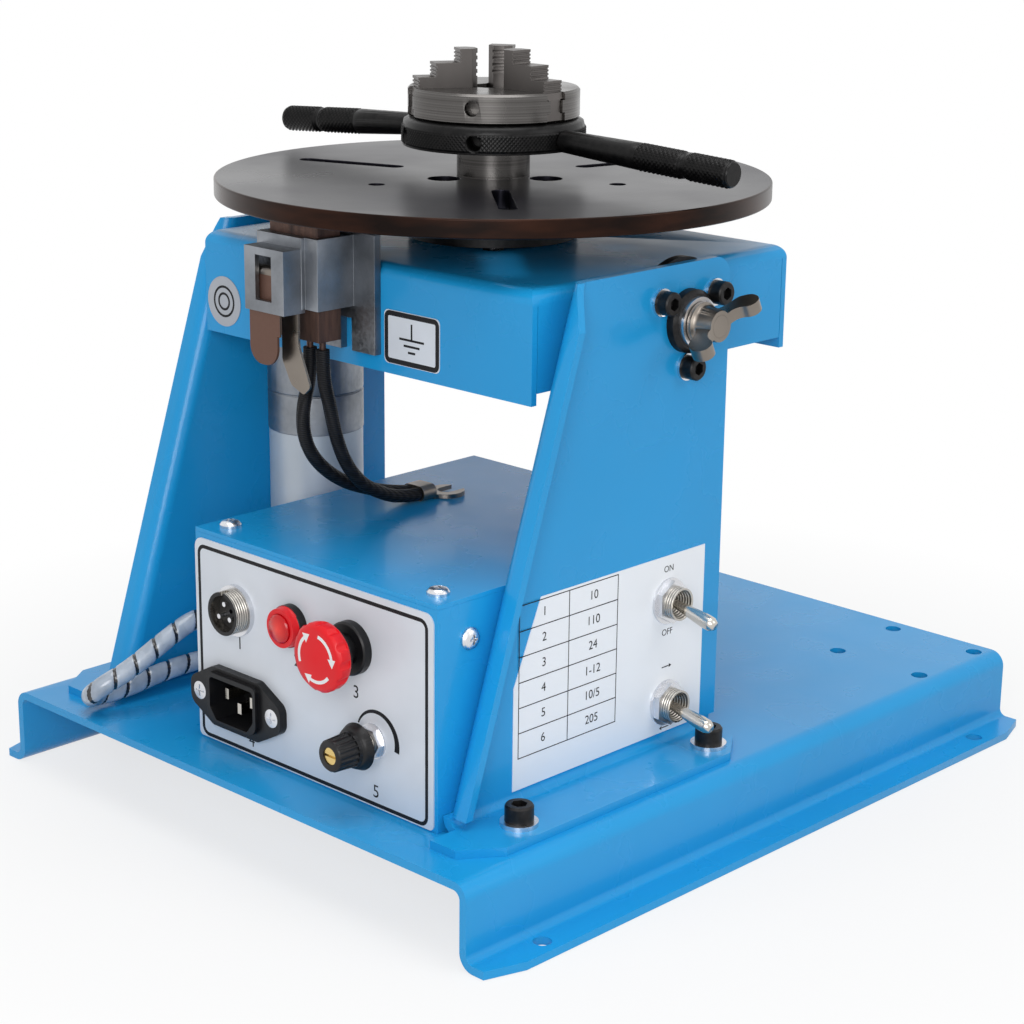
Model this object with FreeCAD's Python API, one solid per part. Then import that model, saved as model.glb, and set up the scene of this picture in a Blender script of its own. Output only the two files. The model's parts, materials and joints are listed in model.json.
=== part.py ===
import FreeCAD, Part
import math
import os

V = FreeCAD.Vector

# ---------------------------------------------------------------- driving sizes (mm)
# Fits
FIT = 0.05              # radial clearance of a screw, pin or shaft in its hole
GAP = 0.3               # clearance between pieces that move past each other

# Base: folded channel with a foot flange along each side
BASE_LENGTH = 312.0
BASE_MARGIN = 7.0        # base left beside each bracket foot
BASE_HEIGHT = 30.0
PLATE = 3.0             # sheet of the base and brackets
BEND = 3.0              # inside bend radius of that sheet
FOOT_WIDTH = 13.0
FOOT_CORNER_X = 5.0
FOOT_CORNER_Y = 15.0
FOOT_HOLE_RADIUS = 3.25
FOOT_HOLE_FROM_EDGE = 6.5
FOOT_HOLE_FROM_END = 29.0
ACCESSORY_HOLE_RADIUS = 3.25
ACCESSORY_SPACING_X = 40.0
ACCESSORY_SPACING_Y = 39.0
ACCESSORY_FROM_SIDE = 29.6
ACCESSORY_FROM_BACK = 27.3

# Brackets
BRACKET_SPAN = 177.0    # between the inner faces
BRACKET_HEIGHT = 179.0
BRACKET_FRONT_INSET = 23.0  # from the base's front edge to the bracket, down at the base
BRACKET_DEPTH = 140.0
BRACKET_SLOPE = 0.325   # lean of the front edge, y per z
BRACKET_FLANGE = 9.8
BRACKET_TOP_RADIUS = 8.0
BRACKET_FOOT_WIDTH = 28.0
BRACKET_FOOT_FRONT_INSET = 12.0
BRACKET_FOOT_DEPTH = 144.0
BRACKET_FOOT_CORNER_X = 10.0
BRACKET_FOOT_CORNER_Y = 14.0
BRACKET_BOLT = 6.0
BRACKET_BOLT_FROM_EDGE = 10.0
BRACKET_BOLT_FRONT_INSET = 30.0
BRACKET_BOLT_BACK_INSET = 14.5

# Tilt pivot
TILT_FROM_BACK = 23.0
TILT_FROM_TOP = 20.4
STUD = 8.0
BUSH_RADIUS = 11.3
BUSH_PROUD = 4.0
BUSH_FLANGE_RADIUS = 22.0
BUSH_FLANGE = 3.2
PIVOT_SCREW = 5.0
PIVOT_SCREW_CIRCLE = 33.0
CLAMP_WASHER_RADIUS = 9.0
CLAMP_WASHER = 1.6
WING_HUB_RADIUS = 6.5
WING_HUB = 9.0
WING_SPAN = 36.0
WING_THICK = 4.4
WING_ANGLE = -64.0       # turn of the wings from upright

# Control box
BOX_WIDTH = 125.2
BOX_DEPTH = 142.3
BOX_HEIGHT = 80.4
BOX_FRONT_INSET = 21.7
BOX_SHEET = 1.2
LID = 1.5
OVERLAY = 0.5
LID_SCREW = 4.0
LID_SCREW_INSET = 9.0

# Panel controls, each placed by its distance from the box's left side and from its floor
FOOT_SOCKET_X, FOOT_SOCKET_Z = 23.4, 54.5
FOOT_SOCKET_RADIUS = 8.0
FOOT_SOCKET_PROUD = 7.0
LAMP_X, LAMP_Z = 53.6, 56.4
LAMP_RADIUS = 7.6
LAMP_PROUD = 6.0
STOP_X, STOP_Z = 84.6, 56.2
STOP_COLLAR_RADIUS = 9.5
STOP_COLLAR = 9.0
STOP_HEAD_RADIUS = 12.1
STOP_HEAD = 8.0
STOP_TRAVEL = 5.0
INLET_X, INLET_Z = 24.4, 19.6
INLET_PITCH = 40.0
POT_X, POT_Z = 94.4, 24.8
KNOB_RADIUS = 5.7
KNOB_FLANGE_RADIUS = 8.4
KNOB_GAP = 4.2
KNOB = 15.4

# Side switches, placed from the back of the control box and the base top
TOGGLE_BACK_INSET = 30.2
TOGGLE_UPPER_Z = 57.0
TOGGLE_LOWER_Z = 18.0
TOGGLE_BUSH_RADIUS = 6.0
TOGGLE_BUSH = 7.0
LEVER = 16.0
LEVER_DROP = 12.4       # degrees below level at rest

# Tilting frame
FRAME_WIDTH = BRACKET_SPAN - 2 * (BUSH_FLANGE + GAP)
FRAME_DEPTH = 136.0
FRAME_ABOVE_AXIS = 18.4
FRAME_SHEET = 2.5
FRAME_BEND = 2.5
FRAME_FLAP = 38.5
FRAME_SIDE_FLAP = 34.5
SPINDLE_FROM_TILT = 4.0  # spindle axis ahead of the tilt axis

# Spindle and table
SPINDLE_RADIUS = 10.0
BEARING_RADIUS = 16.0
BEARING = 7.0
BEARING_SPACING = 12.5
HOUSING_RADIUS = 22.0
HOUSING_FLANGE_RADIUS = 31.5
HOUSING_FLANGE = 5.0
HUB_RADIUS = 31.5
HUB = 15.3
HUB_CLEAR = 1.0
STUD_RADIUS = 7.0
TABLE_RADIUS = 102.5
TABLE = 6.8
SLOT_WIDTH = 6.5
SLOT_INNER = 38.0
SLOT_OUTER = 82.5
SLOT_ANGLE = -42.0
LARGE_HOLE_RADIUS = 6.0
LARGE_HOLE_CIRCLE = 43.0
SMALL_HOLE_RADIUS = 3.0
SMALL_HOLE_CIRCLE = 100.0
HOLE_ANGLE = 18.0

# Drive
GEAR_MODULE = 1.0
SPINDLE_TEETH = 96
PINION_TEETH = 32
GEAR = 8.0
BACKLASH = 0.3
DRIVE_ANGLE = 208.7     # direction of the motor from the spindle
SHAFT_OFFSET = 6.7      # output shaft to motor axis
OUTPUT_SHAFT_RADIUS = 3.0
GEARBOX_RADIUS = 18.5
GEARBOX = 42.6
MOTOR_RADIUS = 18.2
MOTOR = 57.4
MOTOR_PLATE = 3.0

# Chuck
NECK_RADIUS = 13.5
NECK = 11.3
RING_RADIUS = 34.0
RING = 10.2
CHUCK_RADIUS = 31.5
CHUCK_BODY = 10.5
CHUCK_BORE = 8.0
JAW_HALF = 4.5
JAW_STEP = 4.9
JAW_TRAVEL = 5.0
BAR_PIN_RADIUS = 2.5
BAR_RADIUS = 4.8
BAR_TIP = 110.0
BAR_DROOP = 3.2

# Earth brush
BRUSH_WIDTH = 25.2
BRUSH_DEPTH = 10.5
BRUSH_LENGTH = 44.0
BRUSH_TRAVEL = 3.0
BRUSH_X = -13.4
HOLDER_PLATE = 3.0
LEAD_RADIUS = 2.5
PIGTAIL_RADIUS = 1.2

# Motor cable
CABLE_RADIUS = 3.75

# ---------------------------------------------------------------- derived places
BRACKET_IN = BRACKET_SPAN / 2
BRACKET_OUT = BRACKET_IN + PLATE
BASE_WIDTH = BRACKET_SPAN + 2 * (BRACKET_FOOT_WIDTH + BASE_MARGIN)
BRACKET_TOP = BASE_HEIGHT + BRACKET_HEIGHT
BRACKET_FRONT = -BASE_LENGTH / 2 + BRACKET_FRONT_INSET
BRACKET_BACK = BRACKET_FRONT + BRACKET_DEPTH
BRACKET_FOOT_FRONT = -BASE_LENGTH / 2 + BRACKET_FOOT_FRONT_INSET
BRACKET_FOOT_BACK = BRACKET_FOOT_FRONT + BRACKET_FOOT_DEPTH
TILT_Y = BRACKET_BACK - TILT_FROM_BACK
TILT_Z = BRACKET_TOP - TILT_FROM_TOP
BOX_RIGHT = BRACKET_IN - GAP
BOX_LEFT = BOX_RIGHT - BOX_WIDTH
BOX_FRONT = -BASE_LENGTH / 2 + BOX_FRONT_INSET
BOX_BACK = BOX_FRONT + BOX_DEPTH
BOX_TOP = BASE_HEIGHT + BOX_HEIGHT
PANEL = BOX_FRONT - OVERLAY         # outer face of the front panel
FRAME_HALF = FRAME_WIDTH / 2
FRAME_TOP = TILT_Z + FRAME_ABOVE_AXIS
FRAME_UNDER = FRAME_TOP - FRAME_SHEET
SPINDLE_Y = TILT_Y - SPINDLE_FROM_TILT
FRAME_FRONT = SPINDLE_Y - FRAME_DEPTH / 2
FRAME_BACK = SPINDLE_Y + FRAME_DEPTH / 2
HUB_BOTTOM = FRAME_TOP + HUB_CLEAR
TABLE_BOTTOM = HUB_BOTTOM + HUB
TABLE_TOP = TABLE_BOTTOM + TABLE
RING_BOTTOM = TABLE_TOP + NECK
CHUCK_BOTTOM = RING_BOTTOM + RING + GAP
CHUCK_TOP = CHUCK_BOTTOM + CHUCK_BODY
HOUSING_BOTTOM = FRAME_TOP - BEARING_SPACING - BEARING
GEAR_TOP = HOUSING_BOTTOM - 0.5
GEAR_BOTTOM = GEAR_TOP - GEAR
PLATE_TOP = GEAR_BOTTOM - 4.0
PLATE_BOTTOM = PLATE_TOP - MOTOR_PLATE
GEAR_CENTRES = GEAR_MODULE * (SPINDLE_TEETH + PINION_TEETH) / 2
DRIVE = V(math.cos(math.radians(DRIVE_ANGLE)), math.sin(math.radians(DRIVE_ANGLE)), 0)
SPINDLE = V(0, SPINDLE_Y, 0)
PINION = SPINDLE + DRIVE * GEAR_CENTRES
MOTOR_AXIS = SPINDLE + DRIVE * (GEAR_CENTRES + SHAFT_OFFSET)
BRUSH_TOP = TABLE_BOTTOM - GAP
BRUSH_BOTTOM = BRUSH_TOP - BRUSH_LENGTH
BRUSH_BACK = FRAME_FRONT - HOLDER_PLATE - 4.3
BRUSH_FRONT = BRUSH_BACK - BRUSH_DEPTH
BRUSH_Y = (BRUSH_FRONT + BRUSH_BACK) / 2
BOLT_X = BRACKET_IN + BRACKET_FOOT_WIDTH - BRACKET_BOLT_FROM_EDGE
BOLT_YS = (BRACKET_FOOT_FRONT + BRACKET_BOLT_FRONT_INSET, BRACKET_FOOT_BACK - BRACKET_BOLT_BACK_INSET)
TOGGLE_Y = BOX_BACK - TOGGLE_BACK_INSET
TOGGLE_ZS = (BASE_HEIGHT + TOGGLE_UPPER_Z, BASE_HEIGHT + TOGGLE_LOWER_Z)
SIDES = (1, -1)


# ---------------------------------------------------------------- shape helpers
def box(x0, x1, y0, y1, z0, z1):
    return Part.makeBox(x1 - x0, y1 - y0, z1 - z0, V(x0, y0, z0))


def rod(radius, start, end):
    start, end = V(*start), V(*end)
    return Part.makeCylinder(radius, (end - start).Length, start, end - start)


def ring(outer, inner, start, end):
    return rod(outer, start, end).cut(rod(inner, start, end))


def join(shapes):
    shapes = list(shapes)
    return shapes[0].multiFuse(shapes[1:]).removeSplitter() if len(shapes) > 1 else shapes[0]


def drilled(shape, cutters):
    for cutter in cutters:
        shape = shape.cut(cutter)
    return shape


def outline(points, radii):
    """Edges of a closed outline in the XY plane whose corners are rounded by the given radii."""
    edges = []
    ends = []
    for i, point in enumerate(points):
        corner = V(point[0], point[1], 0)
        back = V(*points[i - 1], 0) - corner
        ahead = V(*points[(i + 1) % len(points)], 0) - corner
        back.normalize()
        ahead.normalize()
        if radii[i] <= 0:
            ends.append((corner, corner))
            continue
        half = back.getAngle(ahead) / 2
        reach = radii[i] / math.tan(half)
        middle = (back + ahead).normalize() * (radii[i] / math.sin(half) - radii[i])
        start, end = corner + back * reach, corner + ahead * reach
        edges.append(Part.Arc(start, corner + middle, end).toShape())
        ends.append((start, end))
    for i in range(len(points)):
        start, end = ends[i - 1][1], ends[i][0]
        if (end - start).Length > 1e-6:
            edges.append(Part.LineSegment(start, end).toShape())
    return edges


def prism(points, axis, low, high, radii=None):
    """Solid whose outline lies across an axis: x takes (y, z), y takes (x, z), z takes (x, y)."""
    radii = radii or [0] * len(points)
    face = Part.Face(Part.Wire(Part.__sortEdges__(outline(points, radii))))
    solid = face.extrude(V(0, 0, high - low))
    turns = {
        "x": FreeCAD.Matrix(0, 0, 1, low, 1, 0, 0, 0, 0, 1, 0, 0, 0, 0, 0, 1),
        "y": FreeCAD.Matrix(1, 0, 0, 0, 0, 0, -1, high, 0, 1, 0, 0, 0, 0, 0, 1),
        "z": FreeCAD.Matrix(1, 0, 0, 0, 0, 1, 0, 0, 0, 0, 1, low, 0, 0, 0, 1),
    }
    solid.Placement = FreeCAD.Placement(turns[axis])
    return solid


def turned(profile, start, axis):
    """Solid of revolution: profile of (radius, height) points, height along the axis from start."""
    wire = Part.makePolygon([V(r, 0, h) for r, h in profile] + [V(profile[0][0], 0, profile[0][1])])
    solid = Part.Face(wire).revolve(V(0, 0, 0), V(0, 0, 1), 360)
    solid.Placement = FreeCAD.Placement(V(*start), FreeCAD.Rotation(V(0, 0, 1), V(*axis)))
    return solid


def hexagon(across, start, axis, length):
    """Hexagonal prism of the given width across its flats."""
    corner = across / math.sqrt(3)
    points = [V(corner * math.cos(math.radians(a)), corner * math.sin(math.radians(a)), 0)
              for a in range(0, 361, 60)]
    solid = Part.Face(Part.makePolygon(points)).extrude(V(0, 0, length))
    solid.Placement = FreeCAD.Placement(V(*start), FreeCAD.Rotation(V(0, 0, 1), V(*axis)))
    return solid


def along(start, axis, distance):
    return V(*start) + V(*axis) * distance


def cap_screw(size, grip, seat, out):
    """Socket cap screw: head outwards from its seat, shank inwards through the grip."""
    head = turned([(0, 0), (size * 0.75 + 0.5, 0), (size * 0.75 + 0.5, size * 0.88),
                   (size * 0.75, size), (0, size)], seat, out)
    socket = hexagon(size - 1, along(seat, out, size * 0.45), out, size)
    shank = rod(size / 2, along(seat, out, -grip), along(seat, out, 0.01))
    return head.cut(socket).fuse(shank).removeSplitter()


def pan_screw(size, grip, seat, out):
    """Domed screw with a cross recess."""
    radius = size * 0.98
    head = turned([(0, 0), (radius, 0), (radius, size * 0.25), (radius * 0.8, size * 0.5),
                   (radius * 0.45, size * 0.62), (0, size * 0.65)], seat, out)
    recess = along(seat, out, size * 0.3)
    across = V(0, 0, 1) if abs(out[2]) < 0.5 else V(0, 1, 0)
    other = V(*out).cross(across)
    for direction in (across, other):
        slot = Part.makeBox(size * 0.9, size * 0.2, size, V(-size * 0.45, -size * 0.1, 0))
        frame = FreeCAD.Rotation(direction, V(*out).cross(direction), V(*out), "XZY")
        slot.Placement = FreeCAD.Placement(recess, frame)
        head = head.cut(slot)
    shank = rod(size / 2, along(seat, out, -grip), along(seat, out, 0.01))
    return head.fuse(shank).removeSplitter()


def nut(size, across, thick, seat, out):
    body = hexagon(across, seat, out, thick)
    return body.cut(rod(size / 2 + FIT, seat, along(seat, out, thick)))


def cord(name, points, radius):
    """Tube of straight runs joined by tangent arcs, each arc as large as its two runs allow."""
    points = [V(*p) for p in points]
    edges = []
    radii = []
    last = points[0]
    for before, corner, after in zip(points, points[1:], points[2:]):
        back, ahead = before - corner, after - corner
        reach = 0.45 * min(back.Length, ahead.Length)
        half_turn = (math.pi - back.getAngle(ahead)) / 2
        bend = reach / math.tan(half_turn)
        back.normalize()
        ahead.normalize()
        start, end = corner + back * reach, corner + ahead * reach
        inside = (back + ahead).normalize() * (bend / math.cos(half_turn) - bend)
        edges.append(Part.LineSegment(last, start).toShape())
        edges.append(Part.Arc(start, corner + inside, end).toShape())
        radii.append(round(bend, 1))
        last = end
    edges.append(Part.LineSegment(last, points[-1]).toShape())
    path = Part.Wire(edges)
    section = Part.Wire(Part.makeCircle(radius, points[0], points[1] - points[0]))
    tube = path.makePipeShell([section], True, True)
    expected = math.pi * radius ** 2 * path.Length
    print(name, "bend radii", radii, "length", round(path.Length, 1), "volume ratio",
          round(tube.Volume / expected, 4))
    return tube


def save(node, *shapes):
    solids = [solid for shape in shapes for solid in shape.Solids]
    result = solids[0] if len(solids) == 1 else Part.makeCompound(solids)
    result.exportStep("parts/" + node + ".step")


# ---------------------------------------------------------------- base and brackets
def base_plate():
    half, outer = BASE_WIDTH / 2, BEND + PLATE
    foot = half + FOOT_WIDTH
    section = [(-half + PLATE, BASE_HEIGHT - PLATE), (half - PLATE, BASE_HEIGHT - PLATE), (half - PLATE, 0),
               (foot, 0), (foot, PLATE), (half, PLATE), (half, BASE_HEIGHT), (-half, BASE_HEIGHT),
               (-half, PLATE), (-foot, PLATE), (-foot, 0), (-half + PLATE, 0)]
    radii = [BEND, BEND, outer, 0, 0, BEND, outer, outer, BEND, 0, 0, outer]
    end = BASE_LENGTH / 2
    plate = prism(section, "y", -end, end, radii)
    inner_x, inner_y = foot - FOOT_CORNER_X, end - FOOT_CORNER_Y
    plan = [(foot, -inner_y), (foot, inner_y), (inner_x, end), (-inner_x, end),
            (-foot, inner_y), (-foot, -inner_y), (-inner_x, -end), (inner_x, -end)]
    plate = plate.common(prism(plan, "z", 0, BASE_HEIGHT))
    holes = []
    foot_x, foot_y = foot - FOOT_HOLE_FROM_EDGE, end - FOOT_HOLE_FROM_END
    for x in (-foot_x, foot_x):
        for y in (-foot_y, foot_y):
            holes.append(rod(FOOT_HOLE_RADIUS, (x, y, -1), (x, y, PLATE + 1)))
    for x in (0, ACCESSORY_SPACING_X):
        for y in (0, ACCESSORY_SPACING_Y):
            place_x = half - ACCESSORY_FROM_SIDE - ACCESSORY_SPACING_X / 2 + x
            place_y = end - ACCESSORY_FROM_BACK - ACCESSORY_SPACING_Y / 2 + y
            holes.append(rod(ACCESSORY_HOLE_RADIUS, (place_x, place_y, 20),
                             (place_x, place_y, BASE_HEIGHT + 1)))
    for x in (-BOLT_X, BOLT_X):
        for y in BOLT_YS:
            holes.append(rod(BRACKET_BOLT / 2 + FIT, (x, y, 20), (x, y, BASE_HEIGHT + 1)))
    for x, y in tray_screw_places():
        holes.append(rod(LID_SCREW / 2 + FIT, (x, y, 20), (x, y, BASE_HEIGHT + 1)))
    return drilled(plate, holes)


def tray_screw_places():
    inset = 2 * LID_SCREW_INSET
    return [(x, y) for x in (BOX_LEFT + inset, BOX_RIGHT - inset)
            for y in (BOX_FRONT + inset, BOX_BACK - inset)]


def bracket(side):
    outer = BEND + PLATE
    edge = BRACKET_IN + BRACKET_FLANGE
    low = BASE_HEIGHT + outer
    start = BRACKET_FRONT + BRACKET_SLOPE * (low - BASE_HEIGHT)
    sheet = PLATE * math.sqrt(1 + BRACKET_SLOPE ** 2)
    root = start + 20
    section = [(BRACKET_IN, start), (edge, start), (edge, start + sheet), (BRACKET_OUT, start + sheet),
               (BRACKET_OUT, root), (BRACKET_IN, root)]
    rise = BRACKET_TOP - low
    face = Part.Face(Part.Wire(Part.__sortEdges__(outline(section, [outer, 0, 0, BEND, 0, 0]))))
    flange = face.extrude(V(0, BRACKET_SLOPE * rise, rise))
    flange.translate(V(0, 0, low))
    top_front = start + BRACKET_SLOPE * rise + 15
    plate = prism([(start + 15, low), (BRACKET_BACK, low), (BRACKET_BACK, BRACKET_TOP),
                   (top_front, BRACKET_TOP)],
                  "x", BRACKET_IN, BRACKET_OUT, [0, 0, BRACKET_TOP_RADIUS, 0])
    foot_edge = BRACKET_IN + BRACKET_FOOT_WIDTH
    fold = [(BRACKET_IN, low), (BRACKET_OUT, low), (BRACKET_OUT, BASE_HEIGHT + PLATE),
            (foot_edge, BASE_HEIGHT + PLATE), (foot_edge, BASE_HEIGHT), (BRACKET_IN, BASE_HEIGHT)]
    foot = prism(fold, "y", BRACKET_FOOT_FRONT, BRACKET_FOOT_BACK, [0, 0, BEND, 0, 0, outer])
    relief_x, relief_y = BRACKET_OUT + BEND, BRACKET_FRONT + 1
    corner_x = foot_edge - BRACKET_FOOT_CORNER_X
    front_y, back_y = BRACKET_FOOT_FRONT + BRACKET_FOOT_CORNER_Y, BRACKET_FOOT_BACK - BRACKET_FOOT_CORNER_Y
    plan = [(BRACKET_IN, relief_y), (relief_x, relief_y), (relief_x, BRACKET_FOOT_FRONT),
            (corner_x, BRACKET_FOOT_FRONT), (foot_edge, front_y), (foot_edge, back_y),
            (corner_x, BRACKET_FOOT_BACK), (BRACKET_IN, BRACKET_FOOT_BACK)]
    foot = foot.common(prism(plan, "z", BASE_HEIGHT, low))
    shape = join([flange, plate, foot])
    taper = [(edge, BRACKET_TOP - 15), (edge + 5, BRACKET_TOP - 15), (edge + 5, BRACKET_TOP + 1),
             (BRACKET_OUT + 0.5, BRACKET_TOP + 1)]
    holes = [prism(taper, "y", BRACKET_FRONT, BRACKET_BACK)]
    inside, outside = BRACKET_IN - 1, BRACKET_OUT + 1
    holes.append(rod(BUSH_RADIUS + FIT, (inside, TILT_Y, TILT_Z), (outside, TILT_Y, TILT_Z)))
    for y, z in pivot_screw_places():
        holes.append(rod(PIVOT_SCREW / 2 + FIT, (inside, y, z), (outside, y, z)))
    for y in BOLT_YS:
        holes.append(rod(BRACKET_BOLT / 2 + FIT, (BOLT_X, y, BASE_HEIGHT - 1), (BOLT_X, y, low)))
    if side > 0:
        for z in TOGGLE_ZS:
            holes.append(rod(TOGGLE_BUSH_RADIUS + FIT, (inside, TOGGLE_Y, z), (outside, TOGGLE_Y, z)))
    shape = drilled(shape, holes)
    return shape if side > 0 else shape.mirror(V(0, 0, 0), V(1, 0, 0))


def pivot_screw_places():
    reach = PIVOT_SCREW_CIRCLE / 2
    return [(TILT_Y + reach * math.cos(math.radians(a)), TILT_Z + reach * math.sin(math.radians(a)))
            for a in (30, 150, 270)]


def bracket_bolts():
    solids = []
    for x in (-BOLT_X, BOLT_X):
        for y in BOLT_YS:
            seat = (x, y, BASE_HEIGHT + PLATE + 1.6)
            solids.append(cap_screw(BRACKET_BOLT, PLATE * 2 + 8.0, seat, (0, 0, 1)))
            solids.append(nut(BRACKET_BOLT, 10, 5, (x, y, BASE_HEIGHT - PLATE), (0, 0, -1)))
    return solids


def pivot_screws():
    solids = []
    for side in SIDES:
        for y, z in pivot_screw_places():
            seat = (side * (BRACKET_OUT + 1), y, z)
            solids.append(cap_screw(PIVOT_SCREW, PLATE + 1 + BUSH_FLANGE - 0.4, seat, (side, 0, 0)))
    return solids


def zinc_washers():
    solids = []
    for x in (-BOLT_X, BOLT_X):
        for y in BOLT_YS:
            low = BASE_HEIGHT + PLATE
            solids.append(ring(BRACKET_BOLT + 0.6, BRACKET_BOLT / 2 + 0.2, (x, y, low), (x, y, low + 1.6)))
    for side in SIDES:
        for y, z in pivot_screw_places():
            solids.append(ring(4.9, PIVOT_SCREW / 2 + 0.2, (side * BRACKET_OUT, y, z),
                               (side * (BRACKET_OUT + 1), y, z)))
        start = side * (BRACKET_OUT + BUSH_PROUD)
        solids.append(ring(CLAMP_WASHER_RADIUS, STUD / 2 + FIT, (start, TILT_Y, TILT_Z),
                           (start + side * CLAMP_WASHER, TILT_Y, TILT_Z)))
    return solids


def pivot_bushes():
    """Flanged bushes bolted inside the brackets; their bosses stand out through them."""
    bushes = []
    length = BUSH_FLANGE + PLATE + BUSH_PROUD
    for side in SIDES:
        start = (side * (BRACKET_IN - BUSH_FLANGE), TILT_Y, TILT_Z)
        profile = [(STUD / 2 + FIT, 0), (BUSH_FLANGE_RADIUS, 0), (BUSH_FLANGE_RADIUS, BUSH_FLANGE),
                   (BUSH_RADIUS, BUSH_FLANGE), (BUSH_RADIUS, length - 1.2), (BUSH_RADIUS - 1.4, length),
                   (STUD / 2 + FIT, length)]
        bush = turned(profile, start, (side, 0, 0))
        for y, z in pivot_screw_places():
            bush = bush.cut(rod(PIVOT_SCREW / 2 + FIT, (side * (BRACKET_IN - 9), y, z),
                                (side * BRACKET_OUT, y, z)))
        bushes.append(bush)
    return bushes


def wing_base():
    return BRACKET_OUT + BUSH_PROUD + CLAMP_WASHER + GAP


def pivot_studs():
    studs = []
    for side in SIDES:
        inner = FRAME_HALF - FRAME_SHEET
        head = hexagon(13, (side * (inner - 5.3), TILT_Y, TILT_Z), (side, 0, 0), 5.3)
        tip = wing_base() + (WING_HUB if side > 0 else 9.0)
        shank = rod(STUD / 2, (side * (inner - 1), TILT_Y, TILT_Z), (side * tip, TILT_Y, TILT_Z))
        studs.append(head.fuse(shank).removeSplitter())
    return studs


def pivot_locknut():
    return nut(STUD, 13, 8, (-wing_base(), TILT_Y, TILT_Z), (-1, 0, 0))


def wing_nut():
    start = wing_base()
    hub = turned([(STUD / 2 + FIT, 0), (WING_HUB_RADIUS + 1, 0), (WING_HUB_RADIUS + 1, 1.5),
                  (WING_HUB_RADIUS, 2.5),
                  (WING_HUB_RADIUS - 1, WING_HUB), (STUD / 2 + FIT, WING_HUB)], (start, 0, 0), (1, 0, 0))
    wings = []
    for hand in SIDES:
        blade = [(hand * 4.6, 2.5), (hand * 9, 5.0), (hand * (WING_SPAN / 2 - 3), 6.5),
                 (hand * WING_SPAN / 2, 10.5),
                 (hand * (WING_SPAN / 2 - 1.5), 15.5), (hand * (WING_SPAN / 2 - 7), 15.0), (hand * 9, 9.5),
                 (hand * 4.6, WING_HUB)]
        wings.append(prism(blade, "y", -WING_THICK / 2, WING_THICK / 2, [0, 5, 4, 4, 3.5, 3.5, 5, 0]))
    blades = join(wings)
    blades.Placement = FreeCAD.Placement(V(start, 0, 0), FreeCAD.Rotation(V(0, 0, 1), V(1, 0, 0)))
    bore = rod(STUD / 2 + FIT, (start - 1, 0, 0), (start + 30, 0, 0))
    nut_shape = join([hub, blades]).cut(bore)
    nut_shape.rotate(V(0, 0, 0), V(1, 0, 0), WING_ANGLE)
    nut_shape.translate(V(0, TILT_Y, TILT_Z))
    return nut_shape


# ---------------------------------------------------------------- control box
def panel_point(x, z, proud=0.0):
    """Point on the front panel, from the box's left side and floor, standing proud of its face."""
    return V(BOX_LEFT + x, PANEL - proud, BASE_HEIGHT + z)


def panel_hole(radius, x, z):
    return rod(radius, panel_point(x, z, 2), panel_point(x, z, -6))


def inlet_screw_places():
    return [(INLET_X - INLET_PITCH / 2, INLET_Z), (INLET_X + INLET_PITCH / 2, INLET_Z)]


def inlet_cut():
    centre = panel_point(INLET_X, INLET_Z)
    return box(centre.x - 13.6, centre.x + 13.6, PANEL - 2, PANEL + 6, centre.z - 9.6, centre.z + 9.6)


def panel_cuts():
    cuts = [panel_hole(FOOT_SOCKET_RADIUS + FIT, FOOT_SOCKET_X, FOOT_SOCKET_Z),
            panel_hole(LAMP_RADIUS - 1.6, LAMP_X, LAMP_Z),
            panel_hole(STOP_COLLAR_RADIUS - 1.5, STOP_X, STOP_Z),
            panel_hole(3.5 + FIT, POT_X, POT_Z), inlet_cut()]
    cuts += [panel_hole(1.75 + FIT, x, z) for x, z in inlet_screw_places()]
    return cuts


def lid_screw_places():
    inset = LID_SCREW_INSET
    return [(x, BOX_FRONT + inset) for x in (BOX_LEFT + inset, BOX_RIGHT - inset)]


def side_screw_places():
    return [(BOX_FRONT + 14.3, BOX_TOP - 14.4), (BOX_BACK - 14.3, BOX_TOP - 14.4)]


def control_tray():
    top = BOX_TOP - LID
    sheet = BOX_SHEET
    shell = box(BOX_LEFT, BOX_RIGHT, BOX_FRONT, BOX_BACK, BASE_HEIGHT, top)
    shell = shell.cut(box(BOX_LEFT + sheet, BOX_RIGHT - sheet, BOX_FRONT + sheet, BOX_BACK - sheet,
                          BASE_HEIGHT + sheet, top + 1))
    ears = [box(x - 6, x + 6, y - 6, y + 6, top - 1.5, top) for x, y in lid_screw_places()]
    inside = box(BOX_LEFT + 0.5, BOX_RIGHT - 0.5, BOX_FRONT + 0.5, BOX_BACK - 0.5, BASE_HEIGHT, top)
    reach = LID_SCREW_INSET
    for x, y in lid_screw_places():
        toward = BOX_LEFT + 0.5 if x < 0 else BOX_RIGHT - 0.5
        ears.append(box(min(x, toward), max(x, toward), y - 6, y + 6, top - 1.5, top))
    shape = join([shell] + [ear.common(inside) for ear in ears])
    cuts = panel_cuts()
    cuts += [rod(LID_SCREW / 2 + FIT, (x, y, top - reach), (x, y, top + 1)) for x, y in lid_screw_places()]
    cuts += [rod(LID_SCREW / 2 + FIT, (x, y, 20), (x, y, BASE_HEIGHT + 5)) for x, y in tray_screw_places()]
    cuts += [rod(LID_SCREW / 2 + FIT, (BOX_RIGHT - 4, y, z), (BOX_RIGHT + 1, y, z))
             for y, z in side_screw_places()]
    cuts.append(box(BOX_RIGHT - 4, BOX_RIGHT + 1, TOGGLE_Y - 9, TOGGLE_Y + 9, TOGGLE_ZS[1] - 15,
                    TOGGLE_ZS[0] + 15))
    cuts.append(rod(CABLE_RADIUS + 2.25 + FIT, (BOX_LEFT - 1, TILT_Y, gland_z()),
                    (BOX_LEFT + 4, TILT_Y, gland_z())))
    return drilled(shape, cuts)


def gland_z():
    return BASE_HEIGHT + 13.0


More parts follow.
